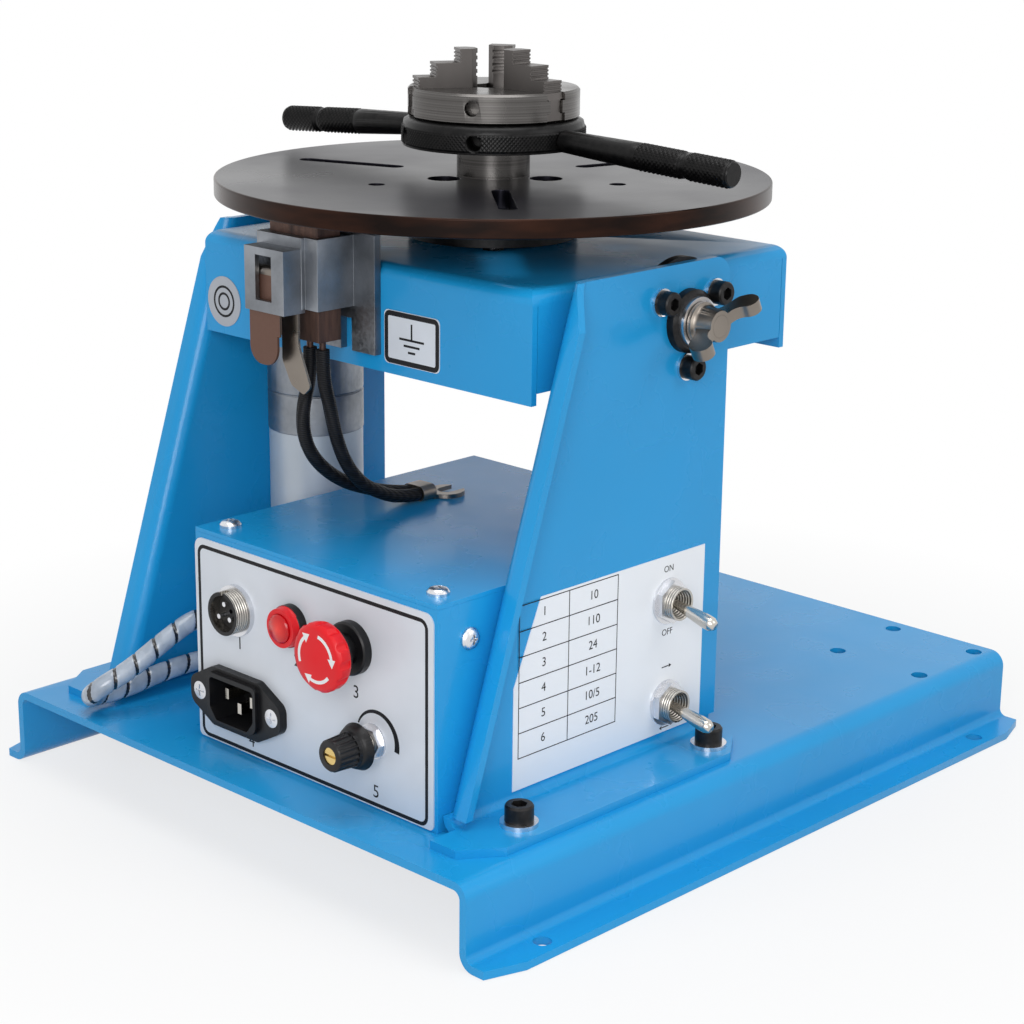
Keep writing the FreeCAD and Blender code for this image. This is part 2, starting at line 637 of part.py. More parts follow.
def control_lid():
    lid = box(BOX_LEFT, BOX_RIGHT, BOX_FRONT, BOX_BACK, BOX_TOP - LID, BOX_TOP)
    return drilled(lid, [rod(LID_SCREW / 2 + FIT, (x, y, 90), (x, y, BOX_TOP + 1))
                         for x, y in lid_screw_places()])


def panel_overlay():
    right = BOX_RIGHT - 1.5
    sheet = prism([(BOX_LEFT, BASE_HEIGHT + 0.5), (right, BASE_HEIGHT + 0.5), (right, BOX_TOP - 3.4),
                   (BOX_LEFT, BOX_TOP - 3.4)], "y", PANEL, BOX_FRONT, [2, 2, 4, 4])
    return drilled(sheet, panel_cuts())


def panel_screws():
    solids = [pan_screw(LID_SCREW, 7, (x, y, BOX_TOP), (0, 0, 1)) for x, y in lid_screw_places()]
    solids += [pan_screw(LID_SCREW, 6, (BOX_RIGHT, y, z), (1, 0, 0)) for y, z in side_screw_places()[:1]]
    for x, y in tray_screw_places():
        solids.append(pan_screw(LID_SCREW, 8, (x, y, BASE_HEIGHT - PLATE), (0, 0, -1)))
    for x, z in inlet_screw_places():
        seat = panel_point(x, z, 3.2)
        head = turned([(0, 0), (1.75, 0), (3.4, 1.6), (0, 1.9)], seat + V(0, 1.7, 0), (0, -1, 0))
        shank = rod(1.75, seat + V(0, 1.69, 0), seat + V(0, 9, 0))
        slot = box(seat.x - 2.2, seat.x + 2.2, seat.y - 0.5, seat.y + 0.4, seat.z - 0.35, seat.z + 0.35)
        cross = box(seat.x - 0.35, seat.x + 0.35, seat.y - 0.5, seat.y + 0.4, seat.z - 2.2, seat.z + 2.2)
        solids.append(head.fuse(shank).removeSplitter().cut(slot).cut(cross))
    return solids


def foot_socket():
    """Threaded three-pin socket: shell, insulator and pins in one node."""
    shell = ring(FOOT_SOCKET_RADIUS, 6.6, panel_point(FOOT_SOCKET_X, FOOT_SOCKET_Z, FOOT_SOCKET_PROUD),
                 panel_point(FOOT_SOCKET_X, FOOT_SOCKET_Z, -9))
    key = panel_point(FOOT_SOCKET_X, FOOT_SOCKET_Z)
    shell = shell.cut(box(key.x - 1, key.x + 1, PANEL - 10, PANEL - 4, key.z + 5, key.z + 9))
    body = ring(6.6 - FIT, 0.9, panel_point(FOOT_SOCKET_X, FOOT_SOCKET_Z, FOOT_SOCKET_PROUD - 4),
                panel_point(FOOT_SOCKET_X, FOOT_SOCKET_Z, -12))
    pins = []
    for angle in (90, 210, 330):
        x = FOOT_SOCKET_X + 3.4 * math.cos(math.radians(angle))
        z = FOOT_SOCKET_Z + 3.4 * math.sin(math.radians(angle))
        body = body.cut(rod(0.9 + FIT, panel_point(x, z, 9), panel_point(x, z, -13)))
        pins.append(rod(0.9, panel_point(x, z, FOOT_SOCKET_PROUD - 0.8), panel_point(x, z, -14)))
    return [shell, body] + pins


def lamp_bezel():
    bore, shank = LAMP_RADIUS - 2.4, LAMP_RADIUS - 1.8
    profile = [(bore, -8), (shank, -8), (shank, 0), (LAMP_RADIUS, 0), (LAMP_RADIUS, 3),
               (LAMP_RADIUS - 0.4, 3.2),
               (LAMP_RADIUS - 0.6, LAMP_PROUD), (bore + 0.2, LAMP_PROUD), (bore, LAMP_PROUD - 0.2)]
    return turned(profile, panel_point(LAMP_X, LAMP_Z), (0, -1, 0))


def lamp_lens():
    radius = LAMP_RADIUS - 2.4 - FIT
    profile = [(0, -7), (radius, -7), (radius, LAMP_PROUD + 0.6), (radius - 0.8, LAMP_PROUD + 1.4),
               (0, LAMP_PROUD + 1.6)]
    return turned(profile, panel_point(LAMP_X, LAMP_Z), (0, -1, 0))


def stop_collar():
    inner = 5.5
    profile = [(inner, 0), (STOP_COLLAR_RADIUS, 0), (STOP_COLLAR_RADIUS, STOP_COLLAR - 6),
               (STOP_COLLAR_RADIUS - 0.6, 3.6),
               (inner, 3.6)]
    collar = turned(profile, panel_point(STOP_X, STOP_Z), (0, -1, 0))
    body = ring(STOP_COLLAR_RADIUS - 1.5 - FIT, inner, panel_point(STOP_X, STOP_Z),
                panel_point(STOP_X, STOP_Z, -18))
    centre = panel_point(STOP_X, STOP_Z)
    block = box(centre.x - 9, centre.x + 9, PANEL + 18, PANEL + 34, centre.z - 12, centre.z + 12)
    block = block.cut(rod(inner, panel_point(STOP_X, STOP_Z, -17), panel_point(STOP_X, STOP_Z, -26)))
    return join([collar, body, block])


def stop_plunger():
    """Sliding stem, with the black skirt that the red head sits on."""
    skirt_low = 3.6 + STOP_TRAVEL + GAP
    profile = [(0, -14), (5.5 - FIT, -14), (5.5 - FIT, skirt_low), (STOP_COLLAR_RADIUS, skirt_low),
               (STOP_COLLAR_RADIUS, STOP_COLLAR + 0.6), (3, STOP_COLLAR + 0.6), (3, STOP_COLLAR + 6),
               (0, STOP_COLLAR + 6)]
    return turned(profile, panel_point(STOP_X, STOP_Z), (0, -1, 0))


def stop_head():
    low = STOP_COLLAR + 0.6 + GAP
    high = STOP_COLLAR + STOP_HEAD
    radius = STOP_HEAD_RADIUS
    profile = [(3 + FIT, low), (radius - 2.2, low), (radius - 0.4, low + 1.6), (radius, low + 3),
               (radius, high - 1.4),
               (radius - 1.2, high - 0.2), (radius - 2.4, high), (0, high + 0.4),
               (0, STOP_COLLAR + 6 + FIT),
               (3 + FIT, STOP_COLLAR + 6 + FIT)]
    head = turned(profile, panel_point(STOP_X, STOP_Z), (0, -1, 0))
    notches = []
    for angle in range(0, 360, 30):
        x = STOP_X + (radius + 1.6) * math.cos(math.radians(angle))
        z = STOP_Z + (radius + 1.6) * math.sin(math.radians(angle))
        notches.append(rod(2.3, panel_point(x, z, high + 2), panel_point(x, z, low + 2.2)))
    return drilled(head, notches)


def power_inlet():
    """Appliance inlet: eared flange, raised block with a shaped cavity, and body behind the panel."""
    centre = panel_point(INLET_X, INLET_Z)
    x, z = centre.x, centre.z
    ear, high = INLET_PITCH / 2 + 5, 11.3
    flange = prism([(x - ear, z - 4.5), (x - 12.5, z - high), (x + 12.5, z - high), (x + ear, z - 4.5),
                    (x + ear, z + 4.5), (x + 12.5, z + high), (x - 12.5, z + high), (x - ear, z + 4.5)],
                   "y", PANEL - 3.2, PANEL, [4.5, 3, 3, 4.5, 4.5, 3, 3, 4.5])
    block = prism([(x - 13.5, z - high + 2.4), (x + 13.5, z - high + 2.4), (x + 13.5, z + high - 1.6),
                   (x - 13.5, z + high - 1.6)],
                  "y", PANEL - 5, PANEL - 3, [4.5, 4.5, 2, 2])
    body = box(x - 13.5, x + 13.5, PANEL - 0.1, PANEL + 22, z - 9.5, z + 9.5)
    cavity = prism([(x - 8.5, z - 8), (x + 8.5, z - 8), (x + 12, z - 3.6), (x + 12, z + 8), (x - 12, z + 8),
                    (x - 12, z - 3.6)],
                   "y", PANEL - 6, PANEL + 11, [0.8, 0.8, 1, 1.5, 1.5, 1])
    shape = join([flange, block, body]).cut(cavity)
    cuts = []
    for px, pz in inlet_screw_places():
        cuts.append(rod(1.75 + FIT, panel_point(px, pz, 6), panel_point(px, pz, -1)))
        sink = turned([(0, 0), (1.75 + FIT, 0), (3.4 + FIT, 1.6), (3.6, 4), (0, 4)],
                      panel_point(px, pz, 1.5), (0, -1, 0))
        cuts.append(sink)
    for dx, dz in ((-7, 1.6), (7, 1.6), (0, -2.4)):
        cuts.append(box(x + dx - 1.0 - FIT, x + dx + 1.0 + FIT, PANEL + 10, PANEL + 23, z + dz - 2.0 - FIT,
                        z + dz + 2.0 + FIT))
    return drilled(shape, cuts)


def inlet_pins():
    centre = panel_point(INLET_X, INLET_Z)
    pins = []
    for dx, dz in ((-7, 1.6), (7, 1.6), (0, -2.4)):
        x, z = centre.x + dx, centre.z + dz
        pins.append(box(x - 1, x + 1, PANEL - 1, PANEL + 28, z - 2, z + 2))
    return pins


def speed_pot():
    """Potentiometer: round body behind the panel, threaded bushing and plain shaft."""
    body = rod(8, panel_point(POT_X, POT_Z, -OVERLAY - BOX_SHEET), panel_point(POT_X, POT_Z, -12))
    bush = rod(3.5, panel_point(POT_X, POT_Z, -OVERLAY - BOX_SHEET - 0.1),
               panel_point(POT_X, POT_Z, knob_start() - 1))
    shaft = rod(3.0, panel_point(POT_X, POT_Z, knob_start() - 1.1),
                panel_point(POT_X, POT_Z, knob_start() + KNOB - 6))
    return join([body, bush, shaft])


def panel_nuts():
    """Nuts and washers of the panel and side controls."""
    foot = panel_point(FOOT_SOCKET_X, FOOT_SOCKET_Z)
    solids = [ring(FOOT_SOCKET_RADIUS + 1.4, FOOT_SOCKET_RADIUS, foot, foot + V(0, -2, 0))]
    pot = panel_point(POT_X, POT_Z)
    solids.append(ring(6.3, 3.5 + FIT, pot, pot + V(0, -0.8, 0)))
    solids.append(nut(7, 10, 2.2, pot + V(0, -0.8, 0), (0, -1, 0)))
    for z in TOGGLE_ZS:
        seat = V(BRACKET_OUT + 0.3, TOGGLE_Y, z)
        solids.append(ring(8.5, TOGGLE_BUSH_RADIUS + FIT, seat, seat + V(1, 0, 0)))
        solids.append(nut(2 * TOGGLE_BUSH_RADIUS, 14, 2.2, seat + V(1, 0, 0), (1, 0, 0)))
    for x, y in tray_screw_places():
        solids.append(nut(LID_SCREW, 7, 3, (x, y, BASE_HEIGHT + BOX_SHEET), (0, 0, 1)))
    return solids


def knob_start():
    return 3.0 + KNOB_GAP


def speed_knob():
    low = knob_start()
    profile = [(3 + FIT, low), (KNOB_FLANGE_RADIUS, low), (KNOB_FLANGE_RADIUS - 1.2, low + 2.6),
               (KNOB_RADIUS + 0.6, low + 3.2),
               (KNOB_RADIUS + 0.4, low + 5), (KNOB_RADIUS, low + KNOB - 3.2),
               (KNOB_RADIUS - 0.5, low + KNOB - 2.6),
               (3.1, low + KNOB - 2.6), (3.1, low + KNOB - 4.2), (3 + FIT, low + KNOB - 4.2)]
    knob = turned(profile, panel_point(POT_X, POT_Z), (0, -1, 0))
    flutes = []
    for angle in range(0, 360, 20):
        x = POT_X + (KNOB_RADIUS + 0.7) * math.cos(math.radians(angle))
        z = POT_Z + (KNOB_RADIUS + 0.7) * math.sin(math.radians(angle))
        flutes.append(rod(0.95, panel_point(x, z, low + 4.5), panel_point(x, z, low + KNOB)))
    return drilled(knob, flutes)


def knob_screw():
    low = knob_start() + KNOB - 5.6
    head = rod(3.0, panel_point(POT_X, POT_Z, low), panel_point(POT_X, POT_Z, low + 2.6))
    top = panel_point(POT_X, POT_Z, low + 2.6)
    return head.cut(box(top.x - 3.2, top.x + 3.2, top.y - 1, top.y + 0.8, top.z - 0.45, top.z + 0.45))


def toggle_switches():
    """Two lever switches: body behind the bracket, threaded bushing through it."""
    solids = []
    tip = BRACKET_OUT + TOGGLE_BUSH
    for z in TOGGLE_ZS:
        body = box(BRACKET_IN - 16, BRACKET_IN, TOGGLE_Y - 6.5, TOGGLE_Y + 6.5, z - 13, z + 13)
        terminals = [box(BRACKET_IN - 22, BRACKET_IN - 15.9, TOGGLE_Y - 2.5, TOGGLE_Y + 2.5, z + dz - 0.5,
                         z + dz + 0.5)
                     for dz in (-8, 0, 8)]
        bush = rod(TOGGLE_BUSH_RADIUS, (BRACKET_IN - 0.1, TOGGLE_Y, z), (tip, TOGGLE_Y, z))
        shape = join([body, bush] + terminals)
        mouth = turned([(0, 0), (3.2, 0), (5.4, 7.2), (0, 7.2)], (tip - 7, TOGGLE_Y, z), (1, 0, 0))
        pocket = turned([(0, 0), (3.2, 0), (3.2, 6), (0, 6)], (tip - 12.9, TOGGLE_Y, z), (1, 0, 0))
        solids.append(shape.cut(mouth).cut(pocket))
    return solids


def lever_pivot(z):
    return V(BRACKET_OUT + TOGGLE_BUSH - 5, TOGGLE_Y, z)


def toggle_lever(z):
    """Bat lever that swells to a round tip, drawn at its lower position."""
    profile = [(0, -5), (1.6, -5), (1.6, 2), (1.7, 4), (2.2, LEVER * 0.6), (2.7, LEVER), (2.6, LEVER + 3),
               (1.7, LEVER + 4.6), (0, LEVER + 5)]
    drop = math.radians(LEVER_DROP)
    return turned(profile, lever_pivot(z), (math.cos(drop), 0, -math.sin(drop)))


def control_board():
    low = BASE_HEIGHT + BOX_SHEET
    x0, x1, y0, y1 = BOX_LEFT + 70, BOX_RIGHT - 27, BOX_FRONT + 45, BOX_BACK - 8
    board = box(x0, x1, y0, y1, low + 5, low + 6.6)
    posts = [rod(2.5, (x, y, low), (x, y, low + 5)) for x in (x0 + 3, x1 - 3) for y in (y0 + 3, y1 - 3)]
    parts = [rod(5, (x0 + 9, y, low + 6.6), (x0 + 9, y, low + 24)) for y in (y0 + 16, y0 + 32)]
    parts.append(box(x0 + 17, x1 - 2, y0 + 10, y0 + 30, low + 6.6, low + 26))
    parts.append(box(x0 + 4, x1 - 4, y1 - 18, y1 - 8, low + 6.6, low + 17))
    return join([board] + posts + parts)


def power_supply():
    low = BASE_HEIGHT + BOX_SHEET
    return box(BOX_LEFT + 24, BOX_LEFT + 66, BOX_FRONT + 44, BOX_BACK - 8, low, low + 34)


def cable_gland():
    """Cable gland through the box's left wall, with its inside locknut."""
    z = gland_z()
    inner = CABLE_RADIUS + FIT
    thread = CABLE_RADIUS + 2.25
    wall = BOX_LEFT
    body = ring(thread, inner, (wall + 6, TILT_Y, z), (wall - 0.1, TILT_Y, z))
    collar = hexagon(2 * thread + 3, (wall, TILT_Y, z), (-1, 0, 0),
                     4).cut(rod(inner, (wall, TILT_Y, z), (wall - 4, TILT_Y, z)))
    dome = turned([(inner, 4), (thread + 0.6, 4), (thread + 0.6, 8), (inner + 0.8, 12), (inner, 12)],
                  (wall, TILT_Y, z), (-1, 0, 0))
    locknut = nut(2 * thread, 2 * thread + 3, 2.5, (wall + BOX_SHEET, TILT_Y, z), (1, 0, 0))
    return [join([body, collar, dome]), locknut]


# ---------------------------------------------------------------- tilting frame and spindle
def tilt_frame():
    low, side_low = FRAME_TOP - FRAME_FLAP, FRAME_TOP - FRAME_SIDE_FLAP
    outer = FRAME_SHEET + FRAME_BEND
    inner_front, inner_back = FRAME_FRONT + FRAME_SHEET, FRAME_BACK - FRAME_SHEET
    inside = FRAME_HALF - FRAME_SHEET
    long_way = prism([(FRAME_FRONT, low), (inner_front, low), (inner_front, FRAME_UNDER),
                      (inner_back, FRAME_UNDER),
                      (inner_back, low), (FRAME_BACK, low), (FRAME_BACK, FRAME_TOP),
                      (FRAME_FRONT, FRAME_TOP)],
                     "x", -FRAME_HALF, FRAME_HALF, [0, 0, FRAME_BEND, FRAME_BEND, 0, 0, outer, outer])
    cross_way = prism([(-FRAME_HALF, side_low), (-inside, side_low), (-inside, FRAME_UNDER),
                       (inside, FRAME_UNDER),
                       (inside, side_low), (FRAME_HALF, side_low), (FRAME_HALF, FRAME_TOP),
                       (-FRAME_HALF, FRAME_TOP)],
                      "y", inner_front + GAP, inner_back - GAP,
                      [0, 0, FRAME_BEND, FRAME_BEND, 0, 0, outer, outer])
    relief = FRAME_TOP - outer
    for side in SIDES:
        edge, near = side * FRAME_HALF, side * (FRAME_HALF - outer - 0.5)
        long_way = long_way.cut(box(min(edge, near), max(edge, near), FRAME_FRONT - 1, FRAME_BACK + 1,
                                    relief, FRAME_TOP + 1))
    for edge, near in ((FRAME_FRONT, FRAME_FRONT + outer + 0.5), (FRAME_BACK, FRAME_BACK - outer - 0.5)):
        cross_way = cross_way.cut(box(-FRAME_HALF - 1, FRAME_HALF + 1, min(edge, near), max(edge, near),
                                      relief, FRAME_TOP + 1))
    shape = join([long_way, cross_way, frame_corners(relief)])
    cuts = [rod(HOUSING_RADIUS + FIT, (0, SPINDLE_Y, FRAME_UNDER - 1), (0, SPINDLE_Y, FRAME_TOP + 1))]
    cuts += [sunk_screw_cut(x, y) for x, y in housing_screw_places()]
    for side in SIDES:
        cuts.append(rod(STUD / 2 + FIT, (side * (inside - 1), TILT_Y, TILT_Z),
                        (side * (FRAME_HALF + 1), TILT_Y, TILT_Z)))
    cuts += [rod(2 + FIT, (x, FRAME_FRONT - 1, z), (x, inner_front + 1, z))
             for x, z in holder_screw_places()]
    return drilled(shape, cuts)


def frame_corners(relief):
    """Four welded corners, where the bends of neighbouring flaps meet above the relief."""
    low = FRAME_TOP - FRAME_FLAP
    outer = FRAME_SHEET + FRAME_BEND

    def folded(half, front, back, top, radius):
        along_x = prism([(front, low), (back, low), (back, top), (front, top)], "x", -half, half,
                        [0, 0, radius, radius])
        along_y = prism([(-half, low), (half, low), (half, top), (-half, top)], "y", front, back,
                        [0, 0, radius, radius])
        return along_x.common(along_y)

    skin = folded(FRAME_HALF, FRAME_FRONT, FRAME_BACK, FRAME_TOP, outer)
    inside = folded(FRAME_HALF - FRAME_SHEET, FRAME_FRONT + FRAME_SHEET, FRAME_BACK - FRAME_SHEET,
                    FRAME_UNDER,
                    FRAME_BEND)
    shell = skin.cut(inside)
    reach = outer + 0.6
    corners = []
    for side in SIDES:
        for front in (FRAME_FRONT, FRAME_BACK - reach):
            left = min(side * FRAME_HALF, side * (FRAME_HALF - reach))
            corners.append(shell.common(box(left, left + reach, front, front + reach, relief, FRAME_TOP)))
    return Part.makeCompound(corners)


def housing_screw_places():
    reach = (HOUSING_RADIUS + HOUSING_FLANGE_RADIUS) / 2
    return [(reach * math.cos(math.radians(a)), SPINDLE_Y + reach * math.sin(math.radians(a)))
            for a in (45, 135, 225, 315)]


def sunk_screw_cut(x, y):
    sink = turned([(0, 0), (2 + FIT, 0), (4 + FIT, 1.95), (4 + FIT, 3), (0, 3)], (x, y, FRAME_TOP - 2),
                  (0, 0, 1))
    return sink.fuse(rod(2 + FIT, (x, y, FRAME_UNDER - 1), (x, y, FRAME_TOP)))


def sunk_screw(x, y, length):
    head = turned([(0, 0), (2, 0), (4, 1.95), (0, 1.95)], (x, y, FRAME_TOP - 2), (0, 0, 1))
    socket = hexagon(2.5, (x, y, FRAME_TOP - 1.4), (0, 0, 1), 3)
    return head.fuse(rod(2, (x, y, FRAME_TOP - length),
                         (x, y, FRAME_TOP - 1.9))).removeSplitter().cut(socket)


def bearing_housing():
    """Flanged cartridge under the top plate; a rib keeps its two bearings apart."""
    low, top = HOUSING_BOTTOM, FRAME_TOP
    seat = BEARING_RADIUS + FIT
    rib = BEARING_RADIUS - 2
    profile = [(seat, low), (HOUSING_RADIUS, low), (HOUSING_RADIUS, FRAME_UNDER - HOUSING_FLANGE),
               (HOUSING_FLANGE_RADIUS, FRAME_UNDER - HOUSING_FLANGE), (HOUSING_FLANGE_RADIUS, FRAME_UNDER),
               (HOUSING_RADIUS, FRAME_UNDER), (HOUSING_RADIUS, top), (seat, top), (seat, top - BEARING),
               (rib, top - BEARING), (rib, low + BEARING), (seat, low + BEARING)]
    housing = turned(profile, (0, SPINDLE_Y, 0), (0, 0, 1))
    return drilled(housing, [rod(2 + FIT, (x, y, low), (x, y, top)) for x, y in housing_screw_places()])


def spindle_bearings():
    bearings = []
    for low in (HOUSING_BOTTOM, FRAME_TOP - BEARING):
        inner, outer = SPINDLE_RADIUS + FIT, BEARING_RADIUS
        profile = [(inner, 0), (inner + 1.6, 0), (inner + 1.6, 0.5), (outer - 1.6, 0.5), (outer - 1.6, 0),
                   (outer, 0),
                   (outer, BEARING), (outer - 1.6, BEARING), (outer - 1.6, BEARING - 0.5),
                   (inner + 1.6, BEARING - 0.5), (inner + 1.6, BEARING), (inner, BEARING)]
        bearings.append(turned(profile, (0, SPINDLE_Y, low), (0, 0, 1)))
    return bearings


def table_screw_places():
    reach = HUB_RADIUS - 6.5
    return [(reach * math.cos(math.radians(a)), SPINDLE_Y + reach * math.sin(math.radians(a)))
            for a in (HOLE_ANGLE + 60, HOLE_ANGLE + 180, HOLE_ANGLE + 300)]


def spindle():
    """Shaft with the black hub disc that carries the table, and the stud that the chuck stands on."""
    low = GEAR_BOTTOM - 3.5
    stud_top = TABLE_TOP + NECK - 1
    profile = [(0, low), (SPINDLE_RADIUS, low), (SPINDLE_RADIUS, FRAME_TOP + 0.2),
               (SPINDLE_RADIUS + 2, FRAME_TOP + 0.2),
               (SPINDLE_RADIUS + 2, HUB_BOTTOM), (HUB_RADIUS, HUB_BOTTOM), (HUB_RADIUS, TABLE_BOTTOM),
               (STUD_RADIUS, TABLE_BOTTOM), (STUD_RADIUS, stud_top - 1), (STUD_RADIUS - 1, stud_top),
               (0, stud_top)]
    shape = turned(profile, (0, SPINDLE_Y, 0), (0, 0, 1))
    cuts = []
    for x, y in table_screw_places():
        cuts.append(rod(4.3, (x, y, HUB_BOTTOM - 1), (x, y, HUB_BOTTOM + 7)))
        cuts.append(rod(2.5 + FIT, (x, y, HUB_BOTTOM), (x, y, TABLE_BOTTOM + 1)))
    return drilled(shape, cuts)


def gear_outline(teeth, phase):
    """Straight-flanked tooth outline around the origin; a tooth is centred on the phase angle."""
    pitch = GEAR_MODULE * teeth / 2
    tip, root = pitch + 0.9 * GEAR_MODULE, pitch - 1.2 * GEAR_MODULE
    slope = math.tan(math.radians(20))
    half = (math.pi * GEAR_MODULE / 2 - BACKLASH) / 2
    points = []
    for k in range(teeth):
        centre = math.radians(phase + 360.0 * k / teeth)
        for radius, hand in ((root, -1), (tip, -1), (tip, 1), (root, 1)):
            angle = centre + hand * (half + (pitch - radius) * slope) / radius
            points.append((radius * math.cos(angle), radius * math.sin(angle)))
    return points


def gear(teeth, phase, centre, bore, hub_low):
    body = prism(gear_outline(teeth, phase), "z", GEAR_BOTTOM, GEAR_TOP)
    body.translate(centre)
    hub = rod(bore + 3.5, (centre.x, centre.y, hub_low), (centre.x, centre.y, GEAR_BOTTOM + 0.1))
    return join([body, hub]).cut(rod(bore + FIT, (centre.x, centre.y, hub_low - 1),
                                     (centre.x, centre.y, GEAR_TOP + 1)))


def spindle_gear():
    return gear(SPINDLE_TEETH, DRIVE_ANGLE, SPINDLE, SPINDLE_RADIUS, GEAR_BOTTOM - 3)


def motor_pinion():
    """Pinion pressed on the gearbox output shaft."""
    phase = DRIVE_ANGLE + 180 + 180.0 / PINION_TEETH
    pinion = gear(PINION_TEETH, phase, PINION, OUTPUT_SHAFT_RADIUS, GEAR_BOTTOM - 1)
    shaft = rod(OUTPUT_SHAFT_RADIUS, (PINION.x, PINION.y, PLATE_BOTTOM - 10),
                (PINION.x, PINION.y, GEAR_TOP))
    return [pinion, shaft]


def turntable():
    low, top = TABLE_BOTTOM, TABLE_TOP
    disc = turned([(STUD_RADIUS + FIT, 0), (TABLE_RADIUS - 0.4, 0), (TABLE_RADIUS, 0.4),
                   (TABLE_RADIUS, TABLE - 0.4),
                   (TABLE_RADIUS - 0.4, TABLE), (STUD_RADIUS + FIT, TABLE)], (0, SPINDLE_Y, low), (0, 0, 1))
    cuts = []
    for k in range(3):
        angle = SLOT_ANGLE + 120 * k
        slot = box(SLOT_INNER + SLOT_WIDTH / 2, SLOT_OUTER - SLOT_WIDTH / 2, -SLOT_WIDTH / 2,
                   SLOT_WIDTH / 2, low - 1, top + 1)
        for reach in (SLOT_INNER + SLOT_WIDTH / 2, SLOT_OUTER - SLOT_WIDTH / 2):
            slot = slot.fuse(rod(SLOT_WIDTH / 2, (reach, 0, low - 1), (reach, 0, top + 1)))
        slot.rotate(V(0, 0, 0), V(0, 0, 1), angle)
        slot.translate(SPINDLE)
        cuts.append(slot)
        turn = math.radians(HOLE_ANGLE + 120 * k)
        for radius, circle in ((LARGE_HOLE_RADIUS, LARGE_HOLE_CIRCLE),
                               (SMALL_HOLE_RADIUS, SMALL_HOLE_CIRCLE)):
            x, y = circle / 2 * math.cos(turn), SPINDLE_Y + circle / 2 * math.sin(turn)
            cuts.append(rod(radius, (x, y, low - 1), (x, y, top + 1)))
    cuts += [rod(2.5 + FIT, (x, y, low - 1), (x, y, top - 2)) for x, y in table_screw_places()]
    return drilled(disc, cuts)


def table_screws():
    solids = []
    for x, y in table_screw_places():
        seat = (x, y, HUB_BOTTOM + 7)
        solids.append(cap_screw(5, TABLE_TOP - 2.5 - seat[2], seat, (0, 0, -1)))
    return solids


# ---------------------------------------------------------------- drive
def standoff_places():
    side, front = FRAME_HALF - 9.5, FRAME_FRONT + 9.5
    return [(-side, front), (-44, front), (-side, SPINDLE_Y - 8), (-56, SPINDLE_Y - 6)]


def motor_mount():
    """Motor plate and the four posts that hang it from the frame's top."""
    points = [(-FRAME_HALF + 3.5, FRAME_FRONT + 3.5), (-38, FRAME_FRONT + 3.5), (-38, SPINDLE_Y - 22),
              (-50, SPINDLE_Y - 1),
              (-FRAME_HALF + 3.5, SPINDLE_Y - 1)]
    plate = prism(points, "z", PLATE_BOTTOM, PLATE_TOP, [4, 4, 4, 4, 4])
    cuts = [rod(7, (PINION.x, PINION.y, PLATE_BOTTOM - 1), (PINION.x, PINION.y, PLATE_TOP + 1))]
    for x, y in standoff_places():
        cuts.append(rod(2 + FIT, (x, y, PLATE_BOTTOM - 1), (x, y, PLATE_TOP + 1)))
    for x, y in gearbox_screw_places():
        cuts.append(rod(1.5 + FIT, (x, y, PLATE_BOTTOM - 1), (x, y, PLATE_TOP + 1)))
    posts = [ring(4, 2 + FIT, (x, y, PLATE_TOP), (x, y, FRAME_UNDER)) for x, y in standoff_places()]
    return [drilled(plate, cuts)] + posts


def gearbox_screw_places():
    reach = GEARBOX_RADIUS - 3
    return [(MOTOR_AXIS.x + reach * math.cos(math.radians(a)),
             MOTOR_AXIS.y + reach * math.sin(math.radians(a)))
            for a in (DRIVE_ANGLE + 90, DRIVE_ANGLE - 90, DRIVE_ANGLE)]


def gearbox():
    low = PLATE_BOTTOM - GEARBOX
    line = PLATE_BOTTOM - GEARBOX * 0.64
    profile = [(0, low), (GEARBOX_RADIUS, low), (GEARBOX_RADIUS, line - 0.4), (GEARBOX_RADIUS - 0.5, line),
               (GEARBOX_RADIUS, line + 0.4), (GEARBOX_RADIUS, PLATE_BOTTOM), (0, PLATE_BOTTOM)]
    body = turned(profile, (MOTOR_AXIS.x, MOTOR_AXIS.y, 0), (0, 0, 1))
    boss = ring(6, OUTPUT_SHAFT_RADIUS + FIT, (PINION.x, PINION.y, PLATE_BOTTOM - 0.1),
                (PINION.x, PINION.y, PLATE_TOP))
    body = body.cut(rod(OUTPUT_SHAFT_RADIUS + FIT, (PINION.x, PINION.y, PLATE_BOTTOM - 12),
                        (PINION.x, PINION.y, PLATE_TOP)))
    cuts = [rod(1.5 + FIT, (x, y, PLATE_BOTTOM - 6), (x, y, PLATE_BOTTOM + 1))
            for x, y in gearbox_screw_places()]
    return drilled(join([body, boss]), cuts)


def motor_low():
    return PLATE_BOTTOM - GEARBOX - MOTOR


def motor_can():
    low, top = motor_low(), PLATE_BOTTOM - GEARBOX
    profile = [(0, low - 4), (7, low - 4), (8, low), (MOTOR_RADIUS - 2, low), (MOTOR_RADIUS, low + 2),
               (MOTOR_RADIUS, top), (0, top)]
    can = turned(profile, (MOTOR_AXIS.x, MOTOR_AXIS.y, 0), (0, 0, 1))
    tabs = [box(MOTOR_AXIS.x + dx - 1.4, MOTOR_AXIS.x + dx + 1.4, MOTOR_AXIS.y - 0.4, MOTOR_AXIS.y + 0.4,
                low - 6, low + 0.1)
            for dx in (-11, 11)]
    return join([can] + tabs)


# ---------------------------------------------------------------- chuck
def radial(shape, angle):
    """Turns a piece drawn along +X at the origin to its place around the spindle."""
    shape.rotate(V(0, 0, 0), V(0, 0, 1), angle)
    shape.translate(SPINDLE)
    return shape


def jaw_heights():
    return CHUCK_BOTTOM + 3.3, CHUCK_BOTTOM + 7.7


